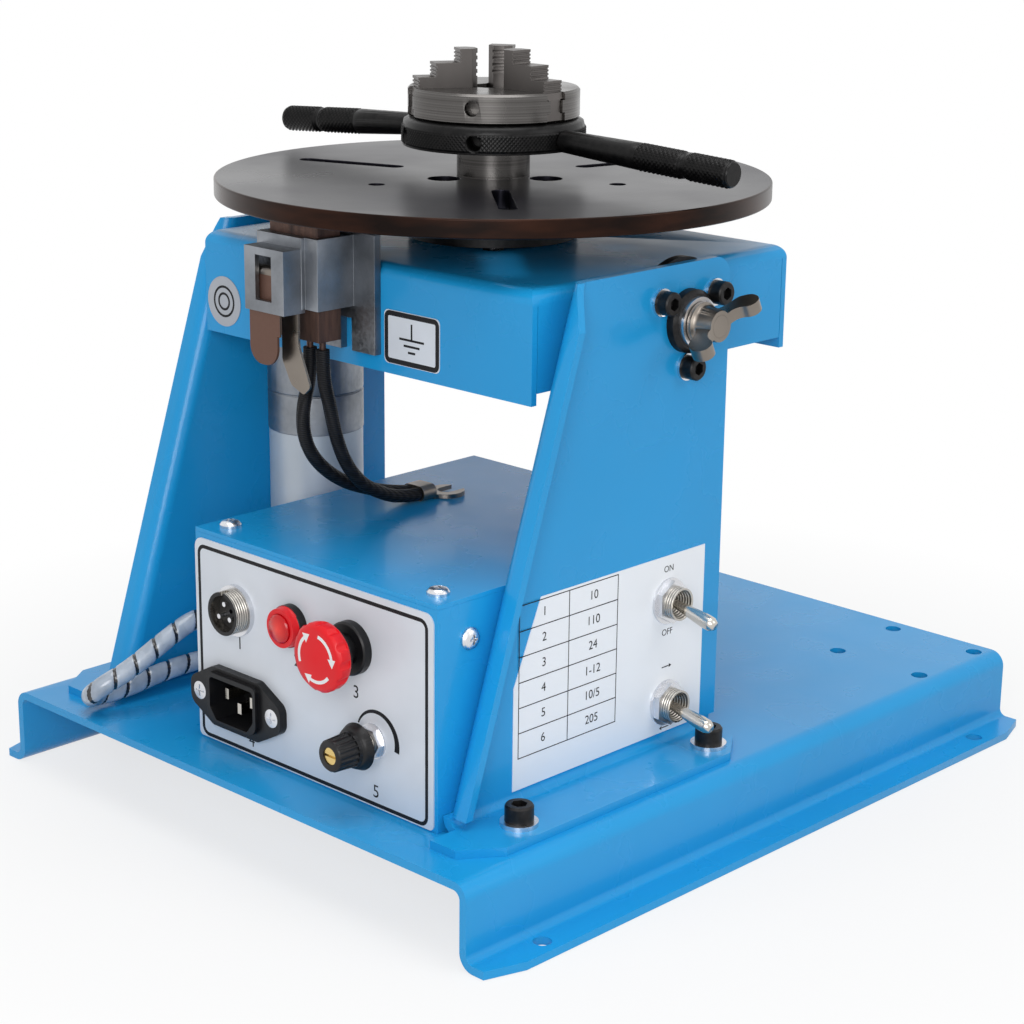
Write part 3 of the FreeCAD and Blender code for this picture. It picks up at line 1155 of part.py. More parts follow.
def chuck_body():
    """Spigot, hub and slotted body in one; the knurled ring turns around the hub."""
    neck_top = RING_BOTTOM + 1.6
    hub = NECK_RADIUS + 3
    profile = [(STUD_RADIUS + FIT, TABLE_TOP), (NECK_RADIUS, TABLE_TOP), (NECK_RADIUS, neck_top),
               (hub, neck_top),
               (hub, CHUCK_BOTTOM), (CHUCK_RADIUS - 0.5, CHUCK_BOTTOM), (CHUCK_RADIUS, CHUCK_BOTTOM + 0.5),
               (CHUCK_RADIUS, CHUCK_TOP - 0.8), (CHUCK_RADIUS - 0.8, CHUCK_TOP), (CHUCK_BORE, CHUCK_TOP),
               (CHUCK_BORE, RING_BOTTOM - 0.9), (STUD_RADIUS + FIT, RING_BOTTOM - 0.9)]
    body = turned(profile, (0, SPINDLE_Y, 0), (0, 0, 1))
    low, high = jaw_heights()
    cuts = []
    for angle in (0, 120, 240):
        wide = JAW_HALF + FIT
        narrow = 3.1
        floor = CHUCK_BOTTOM + 0.1
        outer = CHUCK_RADIUS + 2
        slots = [box(0, outer, -wide, wide, floor, low),
                 box(0, outer, -narrow, narrow, low - 0.1, high + 0.1),
                 box(0, outer, -wide, wide, high, CHUCK_TOP + 1)]
        cuts += [radial(slot, angle) for slot in slots]
        cuts.append(radial(rod(2.75, (CHUCK_RADIUS - 8, 0, (low + high) / 2), (outer, 0, (low + high) / 2)),
                           angle + 60))
    return drilled(body, cuts)


def scroll_ring():
    top = RING_BOTTOM + RING
    lip, hub = NECK_RADIUS + FIT, NECK_RADIUS + 3 + FIT
    profile = [(lip, RING_BOTTOM), (RING_RADIUS - 0.6, RING_BOTTOM), (RING_RADIUS, RING_BOTTOM + 0.6),
               (RING_RADIUS, top - 3), (RING_RADIUS - 1, top - 1.2), (RING_RADIUS - 3, top), (hub, top),
               (hub, RING_BOTTOM + 1.3), (lip, RING_BOTTOM + 1.3)]
    shape = turned(profile, (0, SPINDLE_Y, 0), (0, 0, 1))
    cuts = []
    for k in range(6):
        start = bar_axis(0)[0]
        hole = rod(BAR_PIN_RADIUS + 0.3, (RING_RADIUS - 12, 0, start.z + 0.5),
                   (RING_RADIUS + 2, 0, start.z - 0.3))
        cuts.append(radial(hole, 2 + 60 * k))
    return drilled(shape, cuts)


def bar_axis(angle):
    """Where a bar leaves the ring, and its drooping direction."""
    z = RING_BOTTOM + 4.0
    turn, droop = math.radians(angle), math.radians(BAR_DROOP)
    outward = V(math.cos(turn) * math.cos(droop), math.sin(turn) * math.cos(droop), -math.sin(droop))
    return V(RING_RADIUS * math.cos(turn), SPINDLE_Y + RING_RADIUS * math.sin(turn), z), outward


def tommy_bar(angle):
    start, outward = bar_axis(angle)
    length = BAR_TIP - RING_RADIUS
    profile = [(0, -11.5), (BAR_PIN_RADIUS, -11.5), (BAR_PIN_RADIUS, GAP), (4.0, GAP),
               (BAR_RADIUS, length * 0.46),
               (BAR_RADIUS + 0.2, length * 0.47), (BAR_RADIUS + 0.2, length * 0.72),
               (BAR_RADIUS - 0.5, length * 0.73),
               (BAR_RADIUS - 0.5, length * 0.75), (BAR_RADIUS + 0.2, length * 0.76),
               (BAR_RADIUS + 0.2, length - 1),
               (BAR_RADIUS - 0.8, length), (0, length)]
    return turned(profile, start, outward)


def jaw(angle):
    """Stepped jaw: a grooved foot that slides in the body, and three steps above it."""
    low, high = jaw_heights()
    base = CHUCK_BOTTOM + 0.4
    steps = [CHUCK_TOP + 4 + JAW_STEP * k for k in range(3)]
    nose, reach = 6.8, (14.0, 23.0, 29.5)
    side = [(nose, base), (reach[2] + 0.8, base), (reach[2] + 0.8, high + 0.1), (reach[2], CHUCK_TOP + 0.3),
            (reach[2], steps[0]),
            (reach[1], steps[0]), (reach[1], steps[1]), (reach[0], steps[1]), (reach[0], steps[2]),
            (nose, steps[2])]
    body = prism(side, "y", -JAW_HALF, JAW_HALF)
    plan = [(nose, -2), (nose + 2.5, -JAW_HALF), (40, -JAW_HALF), (40, JAW_HALF), (nose + 2.5, JAW_HALF),
            (nose, 2)]
    body = body.common(prism(plan, "z", base - 1, steps[2] + 1))
    neck = 3.1 - FIT
    cuts = []
    for hand in SIDES:
        near, far = hand * neck, hand * (JAW_HALF + 1)
        cuts.append(box(0, 40, min(near, far), max(near, far), low - GAP, high + GAP))
    for k, radius in enumerate(reversed(reach)):
        for groove in range(3):
            z = steps[k] - 1.3 - 1.3 * groove
            cuts.append(box(radius - 0.45, radius + 0.5, -JAW_HALF, JAW_HALF, z - 0.3, z + 0.3))
    for groove in range(4):
        z = steps[2] - 2.2 - 2.4 * groove
        cuts.append(box(nose - 1, nose + 0.6, -JAW_HALF, JAW_HALF, z - 0.5, z + 0.5))
    return radial(drilled(body, cuts), angle)


# ---------------------------------------------------------------- earth brush
def holder_sides():
    left = BRUSH_X - BRUSH_WIDTH / 2
    right = BRUSH_X + BRUSH_WIDTH / 2
    return left, right


def holder_screw_places():
    left, right = holder_sides()
    return [(left - 4.5, FRAME_TOP - 20), (right + 8, FRAME_TOP - 20)]


def brush_holder():
    """Cast holder: back plate on the frame, sleeve around the brush and a windowed spring box."""
    left, right = holder_sides()
    plate = box(left - 8, right + 12.8, FRAME_FRONT - HOLDER_PLATE, FRAME_FRONT, FRAME_TOP - 32.5,
                FRAME_TOP + 10)
    sleeve_low, sleeve_top = FRAME_TOP - 16.3, FRAME_TOP + 9
    front = BRUSH_FRONT - 2
    sleeve = box(left - 3, right + 2, front, FRAME_FRONT - HOLDER_PLATE + 0.1, sleeve_low, sleeve_top)
    flange = box(left - 3, right - 4.5, front - 1.6, front + 0.1, sleeve_low, sleeve_top)
    box_left, box_right, box_front = left - 0.3, right - 4.7, front - 9.8
    spring_box = box(box_left, box_right, box_front, front, sleeve_low - 1.2, FRAME_TOP + 5.2)
    shape = join([plate, sleeve, flange, spring_box])
    channel = box(left - GAP, right + GAP, BRUSH_FRONT - GAP, BRUSH_BACK + GAP, sleeve_low - 2,
                  sleeve_top + 1)
    hollow = box(box_left + 2, box_right - 2, box_front + 2, front - 2.5, sleeve_low - 3, FRAME_TOP + 3.2)
    window = box(box_left + 5.7, box_right - 6.5, box_front - 1, box_front + 3, sleeve_low + 2.8,
                 FRAME_TOP + 2.5)
    cuts = [channel, hollow, window]
    for x, z in holder_screw_places():
        cuts.append(rod(2 + FIT, (x, FRAME_FRONT - HOLDER_PLATE + 0.5, z), (x, FRAME_FRONT + 1, z)))
    relief = box(right - 5, right + 0.8, FRAME_FRONT - HOLDER_PLATE - 1, FRAME_FRONT + 1, FRAME_TOP - 33,
                 sleeve_low - 4.5)
    return drilled(shape, cuts + [relief])


def lead_tops():
    return V(BRUSH_X + 1.9, BRUSH_Y, BRUSH_BOTTOM - BRUSH_TRAVEL - 0.5), V(BRUSH_X + 8.6, BRUSH_Y,
                                                                           BRUSH_BOTTOM - BRUSH_TRAVEL
                                                                           - 0.5)


def earth_brush():
    left, right = holder_sides()
    block = box(left, right, BRUSH_FRONT, BRUSH_BACK, BRUSH_BOTTOM, BRUSH_TOP)
    tails = [rod(PIGTAIL_RADIUS, (p.x, p.y, p.z - 5), (p.x, p.y, BRUSH_BOTTOM + 0.1)) for p in lead_tops()]
    return join([block] + tails)


def brush_spring():
    """Roll spring in its box, with the flat tabs that hang below it."""
    left, right = holder_sides()
    front = BRUSH_FRONT - 2
    box_left, box_right = left - 0.3, right - 4.7
    mid_y = front - 9.8 + 2 + 2.65
    roll = rod(2.4, (box_left + 2.3, mid_y, FRAME_TOP - 4), (box_right - 2.3, mid_y, FRAME_TOP - 4))
    strip = box(box_left + 5, box_right - 5, mid_y - 2.3, mid_y - 1.6, FRAME_TOP - 26, FRAME_TOP - 4)
    brown = prism([(left - 0.8, FRAME_TOP - 37), (left + 14, FRAME_TOP - 37), (left + 14, FRAME_TOP - 18),
                   (left - 0.8, FRAME_TOP - 18)],
                  "y", mid_y - 2.3, mid_y - 1.3, [6.5, 6.5, 0, 0])
    silver = prism([(left + 11.5, FRAME_TOP - 17.6), (right - 5, FRAME_TOP - 17.6),
                    (right - 5, FRAME_TOP - 29),
                    (right + 1, FRAME_TOP - 43), (right - 2.5, FRAME_TOP - 46),
                    (right - 9, FRAME_TOP - 43.5),
                    (left + 11.5, FRAME_TOP - 35)], "y", front - 3.2, front - 2.2,
                   [0, 0, 8, 1.5, 1.5, 4, 4])
    return [join([roll, strip, brown]), silver]


def lead_points(index):
    """Route of each earth lead from the brush down to the fork terminal."""
    top = lead_tops()[index]
    x, y, z = top.x, top.y, top.z
    routes = (
        [(x, y, z), (x, y, z - 10.6), (x + 0.2, y - 4.0, z - 21), (x + 0.7, y - 4.4, z - 31.4),
         (x + 1.6, y - 1.0, z - 40),
         (x + 2.0, y + 6, z - 47), (x + 2.1, y + 14.5, z - 52.5), (x + 2.2, y + 24.5, z - 56.5),
         (x + 2.4, y + 35, z - 60.0),
         (x + 2.9, y + 45, z - 61.8)],
              [(x, y, z), (x, y, z - 10), (x + 0.4, y + 2.6, z - 20.5), (x + 0.7, y + 4.8, z - 31.5),
               (x + 0.9, y + 9, z - 42.5),
               (x + 1.0, y + 16.5, z - 52), (x + 1.2, y + 27, z - 58), (x + 1.3, y + 36.4, z - 61.2),
               (x + 1.4, y + 45, z - 61.8)],
              )
    return routes[index]


def earth_lead(index):
    points = lead_points(index)
    tube = cord("earth lead " + str(index + 1), points, LEAD_RADIUS)
    top = V(*points[0])
    return tube.cut(rod(PIGTAIL_RADIUS + 0.4, (top.x, top.y, top.z - 9), (top.x, top.y, top.z + 1)))


def fork_terminal():
    """Crimped barrel on the two leads, with a flat open fork."""
    ends = [V(*lead_points(i)[-1]) for i in (0, 1)]
    mid = (ends[0] + ends[1]) / 2
    half = abs(ends[1].x - ends[0].x) / 2 + LEAD_RADIUS + 0.6
    low, high = mid.z - LEAD_RADIUS - 0.25, mid.z + LEAD_RADIUS + 0.5
    barrel = prism([(mid.x - half, low), (mid.x + half, low), (mid.x + half, high), (mid.x - half, high)],
                   "y", mid.y + 0.4, mid.y + 7, [2.8, 2.8, 2.8, 2.8])
    neck = prism([(mid.x - half + 1, mid.y + 6.9), (mid.x + half - 1, mid.y + 6.9), (mid.x + 6, mid.y + 11),
                  (mid.x - 4, mid.y + 11)],
                 "z", low, low + 1.6)
    centre = V(mid.x + 2.5, mid.y + 15, 0)
    disc = ring(7, 3.3, (centre.x, centre.y, low), (centre.x, centre.y, low + 1.6))
    mouth = box(centre.x - 3.3, centre.x + 3.3, centre.y, centre.y + 9, low - 1, low + 3)
    return join([barrel, join([neck, disc]).cut(mouth)])


def head_screws():
    """Screws of the bearing housing, gearbox and brush holder, and the weld studs inside the motor posts."""
    solids = [sunk_screw(x, y, 7.2) for x, y in housing_screw_places()]
    solids += [rod(2, (x, y, PLATE_BOTTOM - 4), (x, y, FRAME_UNDER)) for x, y in standoff_places()]
    for x, y in standoff_places():
        solids.append(nut(4, 7, 3, (x, y, PLATE_BOTTOM), (0, 0, -1)))
    solids += [pan_screw(3, MOTOR_PLATE + 5, (x, y, PLATE_TOP), (0, 0, 1))
               for x, y in gearbox_screw_places()]
    for x, z in holder_screw_places():
        solids.append(pan_screw(4, FRAME_SHEET + HOLDER_PLATE - 0.6, (x, FRAME_FRONT + FRAME_SHEET, z),
                                (0, 1, 0)))
    return solids


def head_labels():
    low, high = FRAME_TOP - 34.7, FRAME_TOP - 15.6
    plate = prism([(11 + 3, low), (41.7, low), (41.7, high), (11 + 3, high)], "y", FRAME_FRONT - 0.3,
                  FRAME_FRONT, [2, 2, 2, 2])
    disc = rod(9.5, (-FRAME_HALF + 10.8, FRAME_FRONT - 0.3, FRAME_TOP - 26),
               (-FRAME_HALF + 10.8, FRAME_FRONT, FRAME_TOP - 26))
    return [plate, disc]


def rating_label():
    back, front = TOGGLE_Y + 20, BRACKET_BACK - 109
    low, high = BASE_HEIGHT + 6.5, BASE_HEIGHT + 74
    label = prism([(front, low), (back, low), (back, high), (front + 13, high), (front, high - 30)], "x",
                  BRACKET_OUT, BRACKET_OUT + 0.3)
    holes = [rod(TOGGLE_BUSH_RADIUS + FIT, (BRACKET_OUT - 1, TOGGLE_Y, z), (BRACKET_OUT + 2, TOGGLE_Y, z))
             for z in TOGGLE_ZS]
    return drilled(label, holes)


CABLE_ROUTE = [
    (-62, -54, 65), (-62.6, -60.5, 59.3), (-63.4, -74, 58.8), (-64.4, -92, 62.4), (-66, -112, 63.6),
               (-68.6, -126, 56.6),
               (-72.3, -139, 47.6), (-76.7, -151.5, 41.6), (-82.6, -151.5, 36.6), (-86.2, -145, 34.6),
               (-84, -133, 35.2),
               (-83.4, -119, 37.4), (-82.8, -100, 38.4), (-81.4, -70, 36.4), (-75, -46, 35.2),
               (-66.5, -27, 39.4), (-54.5, -16, 43),
               ]


def motor_cable():
    end = (BOX_LEFT - 6, TILT_Y, gland_z())
    points = list(CABLE_ROUTE)
    points[0] = (MOTOR_AXIS.x, MOTOR_AXIS.y, motor_low() - 6.8)
    points[-1] = (BOX_LEFT - 17.5, TILT_Y, gland_z())
    return cord("motor cable", points + [end], CABLE_RADIUS)


os.makedirs("parts", exist_ok=True)
save("base_plate", base_plate())
save("bracket_right", bracket(1))
save("bracket_left", bracket(-1))
save("bracket_bolts", *bracket_bolts())
save("pivot_screws", *pivot_screws())
save("zinc_washers", *zinc_washers())
save("pivot_bushes", *pivot_bushes())
save("pivot_studs", *pivot_studs())
save("pivot_locknut", pivot_locknut())
save("wing_nut", wing_nut())
save("control_tray", control_tray())
save("control_lid", control_lid())
save("panel_overlay", panel_overlay())
save("panel_screws", *panel_screws())
save("panel_nuts", *panel_nuts())
save("foot_socket", *foot_socket())
save("lamp_bezel", lamp_bezel())
save("lamp_lens", lamp_lens())
save("stop_collar", stop_collar())
save("stop_plunger", stop_plunger())
save("stop_head", stop_head())
save("power_inlet", power_inlet())
save("inlet_pins", *inlet_pins())
save("speed_pot", speed_pot())
save("speed_knob", speed_knob())
save("knob_screw", knob_screw())
save("toggle_switches", *toggle_switches())
save("power_lever", toggle_lever(TOGGLE_ZS[0]))
save("direction_lever", toggle_lever(TOGGLE_ZS[1]))
save("control_board", control_board())
save("power_supply", power_supply())
save("cable_gland", *cable_gland())
save("rating_label", rating_label())
save("tilt_frame", tilt_frame())
save("bearing_housing", bearing_housing())
save("spindle_bearings", *spindle_bearings())
save("spindle", spindle())
save("spindle_gear", spindle_gear())
save("turntable", turntable())
save("table_screws", *table_screws())
save("motor_mount", *motor_mount())
save("gearbox", gearbox())
save("motor_can", motor_can())
save("motor_pinion", *motor_pinion())
save("chuck_body", chuck_body())
save("scroll_ring", scroll_ring())
for number, direction in enumerate((0, 120, 240), 1):
    save("jaw_" + str(number), jaw(direction))
save("tommy_bar_right", tommy_bar(2))
save("tommy_bar_left", tommy_bar(182))
save("brush_holder", brush_holder())
save("earth_brush", earth_brush())
save("brush_spring", *brush_spring())
save("earth_lead_1", earth_lead(0))
save("earth_lead_2", earth_lead(1))
save("fork_terminal", fork_terminal())
save("head_screws", *head_screws())
save("head_labels", *head_labels())
save("motor_cable", motor_cable())
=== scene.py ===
import json
import math

import bmesh
import bpy
from bpy.props import FloatProperty, FloatVectorProperty, IntProperty, PointerProperty
from bpy.types import Operator, Panel, PropertyGroup
from mathutils import Matrix, Vector

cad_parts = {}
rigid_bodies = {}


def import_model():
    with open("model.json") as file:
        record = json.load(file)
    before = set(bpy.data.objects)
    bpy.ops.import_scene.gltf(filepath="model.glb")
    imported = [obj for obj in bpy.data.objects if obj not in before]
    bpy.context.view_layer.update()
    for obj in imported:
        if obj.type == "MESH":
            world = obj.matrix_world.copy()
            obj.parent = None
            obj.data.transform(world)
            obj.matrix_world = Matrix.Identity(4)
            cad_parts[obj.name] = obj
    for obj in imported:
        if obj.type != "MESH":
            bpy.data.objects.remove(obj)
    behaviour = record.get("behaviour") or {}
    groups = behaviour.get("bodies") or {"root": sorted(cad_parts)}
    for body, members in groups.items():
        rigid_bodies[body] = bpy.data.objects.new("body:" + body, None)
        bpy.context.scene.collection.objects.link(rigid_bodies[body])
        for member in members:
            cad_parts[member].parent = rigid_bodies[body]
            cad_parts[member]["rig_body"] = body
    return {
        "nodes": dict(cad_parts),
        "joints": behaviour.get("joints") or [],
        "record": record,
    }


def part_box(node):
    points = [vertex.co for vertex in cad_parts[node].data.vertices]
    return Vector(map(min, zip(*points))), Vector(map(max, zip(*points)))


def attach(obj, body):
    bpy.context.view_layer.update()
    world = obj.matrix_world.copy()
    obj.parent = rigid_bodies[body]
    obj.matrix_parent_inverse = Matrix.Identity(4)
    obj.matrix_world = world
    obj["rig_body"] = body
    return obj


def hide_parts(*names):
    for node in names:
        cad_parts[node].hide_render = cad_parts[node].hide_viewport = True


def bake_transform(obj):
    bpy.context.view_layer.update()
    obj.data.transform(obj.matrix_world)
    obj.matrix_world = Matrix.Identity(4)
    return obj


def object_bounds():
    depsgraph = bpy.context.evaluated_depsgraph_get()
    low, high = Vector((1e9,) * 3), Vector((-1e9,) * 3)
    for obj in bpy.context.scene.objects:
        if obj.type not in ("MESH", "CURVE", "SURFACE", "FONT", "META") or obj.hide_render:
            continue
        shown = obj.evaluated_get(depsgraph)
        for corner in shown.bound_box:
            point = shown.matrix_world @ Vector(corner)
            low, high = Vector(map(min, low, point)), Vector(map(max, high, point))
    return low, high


bl_info = {
    "name": "Welding Positioner",
    "version": (1, 0, 0),
    "blender": (4, 5, 0),
    "location": "View3D > Sidebar > Positioner",
    "description": "Finishes, prints, cords and studio of a bench welding positioner",
    "category": "Object",
}

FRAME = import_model()
CAD_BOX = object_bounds()
NODES = FRAME["nodes"]
JOINTS = {joint["name"]: joint for joint in FRAME["joints"]}
SLOTS = {row["node"]: row["material_slot"] for row in FRAME["record"]["subparts"]}


def centre(node):
    """Middle of a node's box."""
    low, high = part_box(node)
    return (low + high) / 2


SPINDLE = Vector(JOINTS["table_spin"]["pos_m"])
TABLE_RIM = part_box("turntable")[1].x
PANEL_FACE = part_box("panel_overlay")[0].y
SIDE_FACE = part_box("rating_label")[1].x
HEAD_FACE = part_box("head_labels")[0].y


# ---------------------------------------------------------------- what a user can change
class PositionerPaint(PropertyGroup):
    """Colours of the coatings"""
    enamel: FloatVectorProperty(name="Enamel", description="Colour of the painted sheet metal",
                                subtype="COLOR",
                                default=(0.012, 0.31, 0.66), min=0.0, max=1.0)
    film: FloatVectorProperty(name="Label film", description="Colour of the panel and label film",
                              subtype="COLOR",
                              default=(0.68, 0.71, 0.76), min=0.0, max=1.0)
    ink: FloatVectorProperty(name="Ink", description="Colour of the printed lines and figures",
                             subtype="COLOR",
                             default=(0.010, 0.010, 0.012), min=0.0, max=1.0)
    red: FloatVectorProperty(name="Red", description="Colour of the stop button", subtype="COLOR",
                             default=(0.72, 0.010, 0.016), min=0.0, max=1.0)


class PositionerTrim(PropertyGroup):
    """Sizes of the fine detail"""
    edge: FloatProperty(name="Edge rounding", description="Radius on the folded and cut edges",
                        subtype="DISTANCE",
                        default=0.0003, min=0.00005, max=0.001)
    ink_height: FloatProperty(name="Ink height", description="How far a print stands above its film",
                              subtype="DISTANCE", default=0.00004, min=0.00001, max=0.0002)
    knurl_pitch: FloatProperty(name="Knurl pitch", description="Width of one diamond of a knurl",
                               subtype="DISTANCE",
                               default=0.0019, min=0.0008, max=0.003)
    knurl_depth: FloatProperty(name="Knurl depth", description="Depth of a knurl's valleys",
                               subtype="DISTANCE",
                               default=0.00050, min=0.0001, max=0.0008)


class PositionerCords(PropertyGroup):
    """Sizes of the cords"""
    cable: FloatProperty(name="Motor cable", description="Diameter over the spiral wrap",
                         subtype="DISTANCE",
                         default=0.0075, min=0.004, max=0.0075)
    wrap_pitch: FloatProperty(name="Wrap pitch", description="Advance of the spiral wrap in one turn",
                              subtype="DISTANCE", default=0.0094, min=0.004, max=0.02)
    wrap_gap: FloatProperty(name="Wrap gap", description="Share of the pitch that the wrap leaves open",
                            subtype="FACTOR", default=0.15, min=0.0, max=0.5)
    lead: FloatProperty(name="Earth lead", description="Diameter of one earth lead", subtype="DISTANCE",
                        default=0.005, min=0.003, max=0.005)


class PositionerStage(PropertyGroup):
    """Camera and light"""
    camera: FloatVectorProperty(name="Camera", description="Place of the camera", subtype="TRANSLATION",
                                default=(0.5992124, -0.6327813, 0.3532778))
    lens: FloatProperty(name="Lens", description="Focal length", subtype="DISTANCE_CAMERA",
                        default=81.605,
                        min=20.0, max=200.0)
    key: FloatProperty(name="Key light", description="Power of the large light at the front",
                       subtype="POWER",
                       default=7.0, min=0.0, max=200.0)
    side: FloatProperty(name="Side light", description="Power of the light at the right", subtype="POWER",
                        default=3.0, min=0.0, max=200.0)
    top: FloatProperty(name="Top light", description="Power of the light overhead", subtype="POWER",
                       default=7.0,
                       min=0.0, max=200.0)
    samples: IntProperty(name="Samples", description="Rays traced for one pixel", default=96, min=8,
                         max=1024)


# ---------------------------------------------------------------- shader maths
class Wire:
    """A socket that takes part in Python expressions: each operator adds a Math node."""

    def __init__(self, finish, socket):
        self.finish = finish
        self.socket = socket

    def math(self, operation, first, second=0.0):
        return self.finish.node("Math", {"operation": operation}, {0: first, 1: second})

    def __add__(self, other):
        return self.math("ADD", self, other)

    def __radd__(self, other):
        return self.math("ADD", other, self)

    def __sub__(self, other):
        return self.math("SUBTRACT", self, other)

    def __rsub__(self, other):
        return self.math("SUBTRACT", other, self)

    def __mul__(self, other):
        return self.math("MULTIPLY", self, other)

    def __rmul__(self, other):
        return self.math("MULTIPLY", other, self)

    def __truediv__(self, other):
        return self.math("DIVIDE", self, other)

    def __rtruediv__(self, other):
        return self.math("DIVIDE", other, self)

    def __gt__(self, other):
        return self.math("GREATER_THAN", self, other)

    def __abs__(self):
        return self.math("ABSOLUTE", self)

    def fraction(self):
        return self.math("FRACT", self)

    def sine(self):
        return self.math("SINE", self)

    def root(self):
        return self.math("SQRT", self)


class Finish:
    """A procedural material with one Principled shader."""

    def __init__(self, name, **sockets):
        self.material = bpy.data.materials.new(name)
        self.material.use_nodes = True
        self.tree = self.material.node_tree
        self.shader = self.tree.nodes["Principled BSDF"]
        self.place = self.node("TexCoord", {}, {}, "Object")
        for socket, value in sockets.items():
            self.set(socket.replace("_", " ").title().replace("Ior", "IOR"), value)

    def node(self, kind, settings, sockets, output=0):
        """Adds a node: its settings first, then the values or links of its sockets."""
        made = self.tree.nodes.new("ShaderNode" + kind)
        for key, value in settings.items():
            setattr(made, key, value)
        for key, value in sockets.items():
            self.feed(made.inputs[key], value)
        return Wire(self, made.outputs[output])

    def feed(self, socket, value):
        if isinstance(value, Wire):
            self.tree.links.new(value.socket, socket)
        elif socket.type == "RGBA":
            socket.default_value = (*value, 1)
        else:
            socket.default_value = value

    def set(self, socket, value):
        self.feed(self.shader.inputs[socket], value)

    def noise(self, scale, detail=3.0, place=None):
        return self.node("TexNoise", {}, {"Vector": place or self.place, "Scale": scale,
                                          "Detail": detail})

    def moved(self, origin=(0, 0, 0), scale=(1, 1, 1)):
        """Object coordinates measured from origin and stretched."""
        shift = tuple(-o * s for o, s in zip(origin, scale))
        return self.node("Mapping", {}, {"Vector": self.place, "Location": shift, "Scale": scale})

    def axes(self, place=None):
        return [self.node("SeparateXYZ", {}, {0: place or self.place}, axis) for axis in "XYZ"]

    def uv(self):
        place = self.node("TexCoord", {}, {}, "UV")
        return [self.node("SeparateXYZ", {}, {0: place}, axis) for axis in "XY"]

    def mix(self, share, first, second):
        return self.node("Mix", {"data_type": "RGBA"}, {0: share, 6: first, 7: second}, 2)

    def span(self, value, low, high, first=0.0, second=1.0):
        """Maps value from low..high to first..second, held at both ends."""
        sockets = {"Value": value, "From Min": low, "From Max": high, "To Min": first, "To Max": second}
        return self.node("MapRange", {}, sockets)

    def blend(self, value, low, high, first, second):
        """Goes from the first colour to the second as value goes from low to high."""
        return self.mix(self.span(value, low, high), first, second)

    def relief(self, height, depth, strength=0.5):
        bump = {"Height": height, "Distance": depth, "Strength": strength}
        self.set("Normal", self.node("Bump", {}, bump, "Normal"))


def shade(colour, factor):
    return tuple(min(1.0, factor * part) for part in colour)


def enamel(colour):
    """Stove enamel: high gloss, faint orange peel and a slightly uneven tone."""
    finish = Finish("blue_enamel", coat_weight=0.15, coat_roughness=0.08, specular_ior_level=0.25)
    tone = finish.noise(9.0, 2.0)
    finish.set("Base Color", finish.blend(tone, 0.35, 0.65, shade(colour, 0.96), shade(colour, 1.04)))
    finish.set("Roughness", finish.span(finish.noise(40.0), 0.3, 0.7, 0.24, 0.34))
    finish.relief(finish.noise(230.0, 2.0), 0.00003, 0.08)
    return finish.material


def oxide(name, depth, roughness):
    """Oiled black oxide, a little browner where it is handled."""
    finish = Finish(name, metallic=0.7)
    speck = finish.noise(420.0, 4.0)
    finish.set("Base Color", finish.blend(speck, 0.35, 0.7, (depth, depth, 1.05 * depth),
                                          shade((1, 0.95, 0.95), 2.4 * depth)))
    finish.set("Roughness", finish.span(speck, 0.3, 0.7, roughness, roughness + 0.14))
    finish.relief(speck, 0.00005)
    return finish.material


def plated(name, colour, roughness):
    """Bright plating with faint handling marks."""
    finish = Finish(name, metallic=1.0)
    cloud = finish.noise(70.0)
    finish.set("Base Color", finish.blend(cloud, 0.3, 0.7, shade(colour, 0.84), colour))
    finish.set("Roughness", finish.span(cloud, 0.3, 0.7, roughness, roughness + 0.14))
    finish.relief(finish.noise(900.0, 2.0), 0.00003, 0.25)
    return finish.material


def threaded(name, colour, axis, pitch):
    """Plating over a fine thread that runs along one axis, with painted shade in the thread's valleys."""
    finish = Finish(name, metallic=1.0)
    ridge = (finish.axes()["XYZ".index(axis)] * (2 * math.pi / pitch)).sine()
    # painted shade: the colour falls to 0.35 of the plating in the thread's valleys
    finish.set("Base Color", finish.blend(ridge, -1.0, 0.6, shade(colour, 0.35), colour))
    finish.set("Roughness", finish.span(finish.noise(300.0), 0.3, 0.7, 0.24, 0.36))
    finish.relief(ridge, 0.00015, 0.9)
    return finish.material


def turned_steel():
    """Turned and ground steel: tool marks run round the spindle."""
    finish = Finish("turned_steel", metallic=1.0)
    x, y, z = finish.axes(finish.moved(SPINDLE))
    radius = (x * x + y * y).root()
    marks = finish.node("CombineXYZ", {}, {"X": radius * 700.0, "Y": z * 1500.0})
    marks = finish.node("TexNoise", {"noise_dimensions": "2D"},
                        {"Vector": marks, "Scale": 1.0, "Detail": 3.0})
    finish.set("Base Color", finish.blend(marks, 0.35, 0.65, (0.085, 0.080, 0.077),
                                          (0.135, 0.129, 0.124)))
    finish.set("Roughness", finish.span(finish.noise(60.0), 0.3, 0.7, 0.20, 0.34))
    finish.relief(marks, 0.00001, 0.08)
    return finish.material


def blued_table():
    """Blued plate with turning rings and a copper-brown rim."""
    finish = Finish("blued_table", metallic=0.85)
    x, y = finish.axes(finish.moved(SPINDLE))[:2]
    radius = (x * x + y * y).root()
    rings = finish.node("TexNoise", {"noise_dimensions": "1D"},
                        {"W": radius * 520.0, "Scale": 1.0, "Detail": 4.0})
    cloud = finish.noise(14.0)
    face = finish.blend(cloud, 0.3, 0.7, (0.007, 0.007, 0.011), (0.019, 0.018, 0.026))
    streak = finish.noise(34.0, 3.0, finish.moved(scale=(1, 1, 4)))
    rim = finish.blend(streak, 0.35, 0.65, (0.008, 0.004, 0.003), (0.030, 0.011, 0.006))
    finish.set("Base Color", finish.mix(finish.span(radius, TABLE_RIM - 0.0010, TABLE_RIM - 0.0006), face,
                                        rim))
    finish.set("Roughness", finish.span(cloud, 0.3, 0.7, 0.24, 0.36))
    finish.relief(rings, 0.00004, 0.4)
    return finish.material


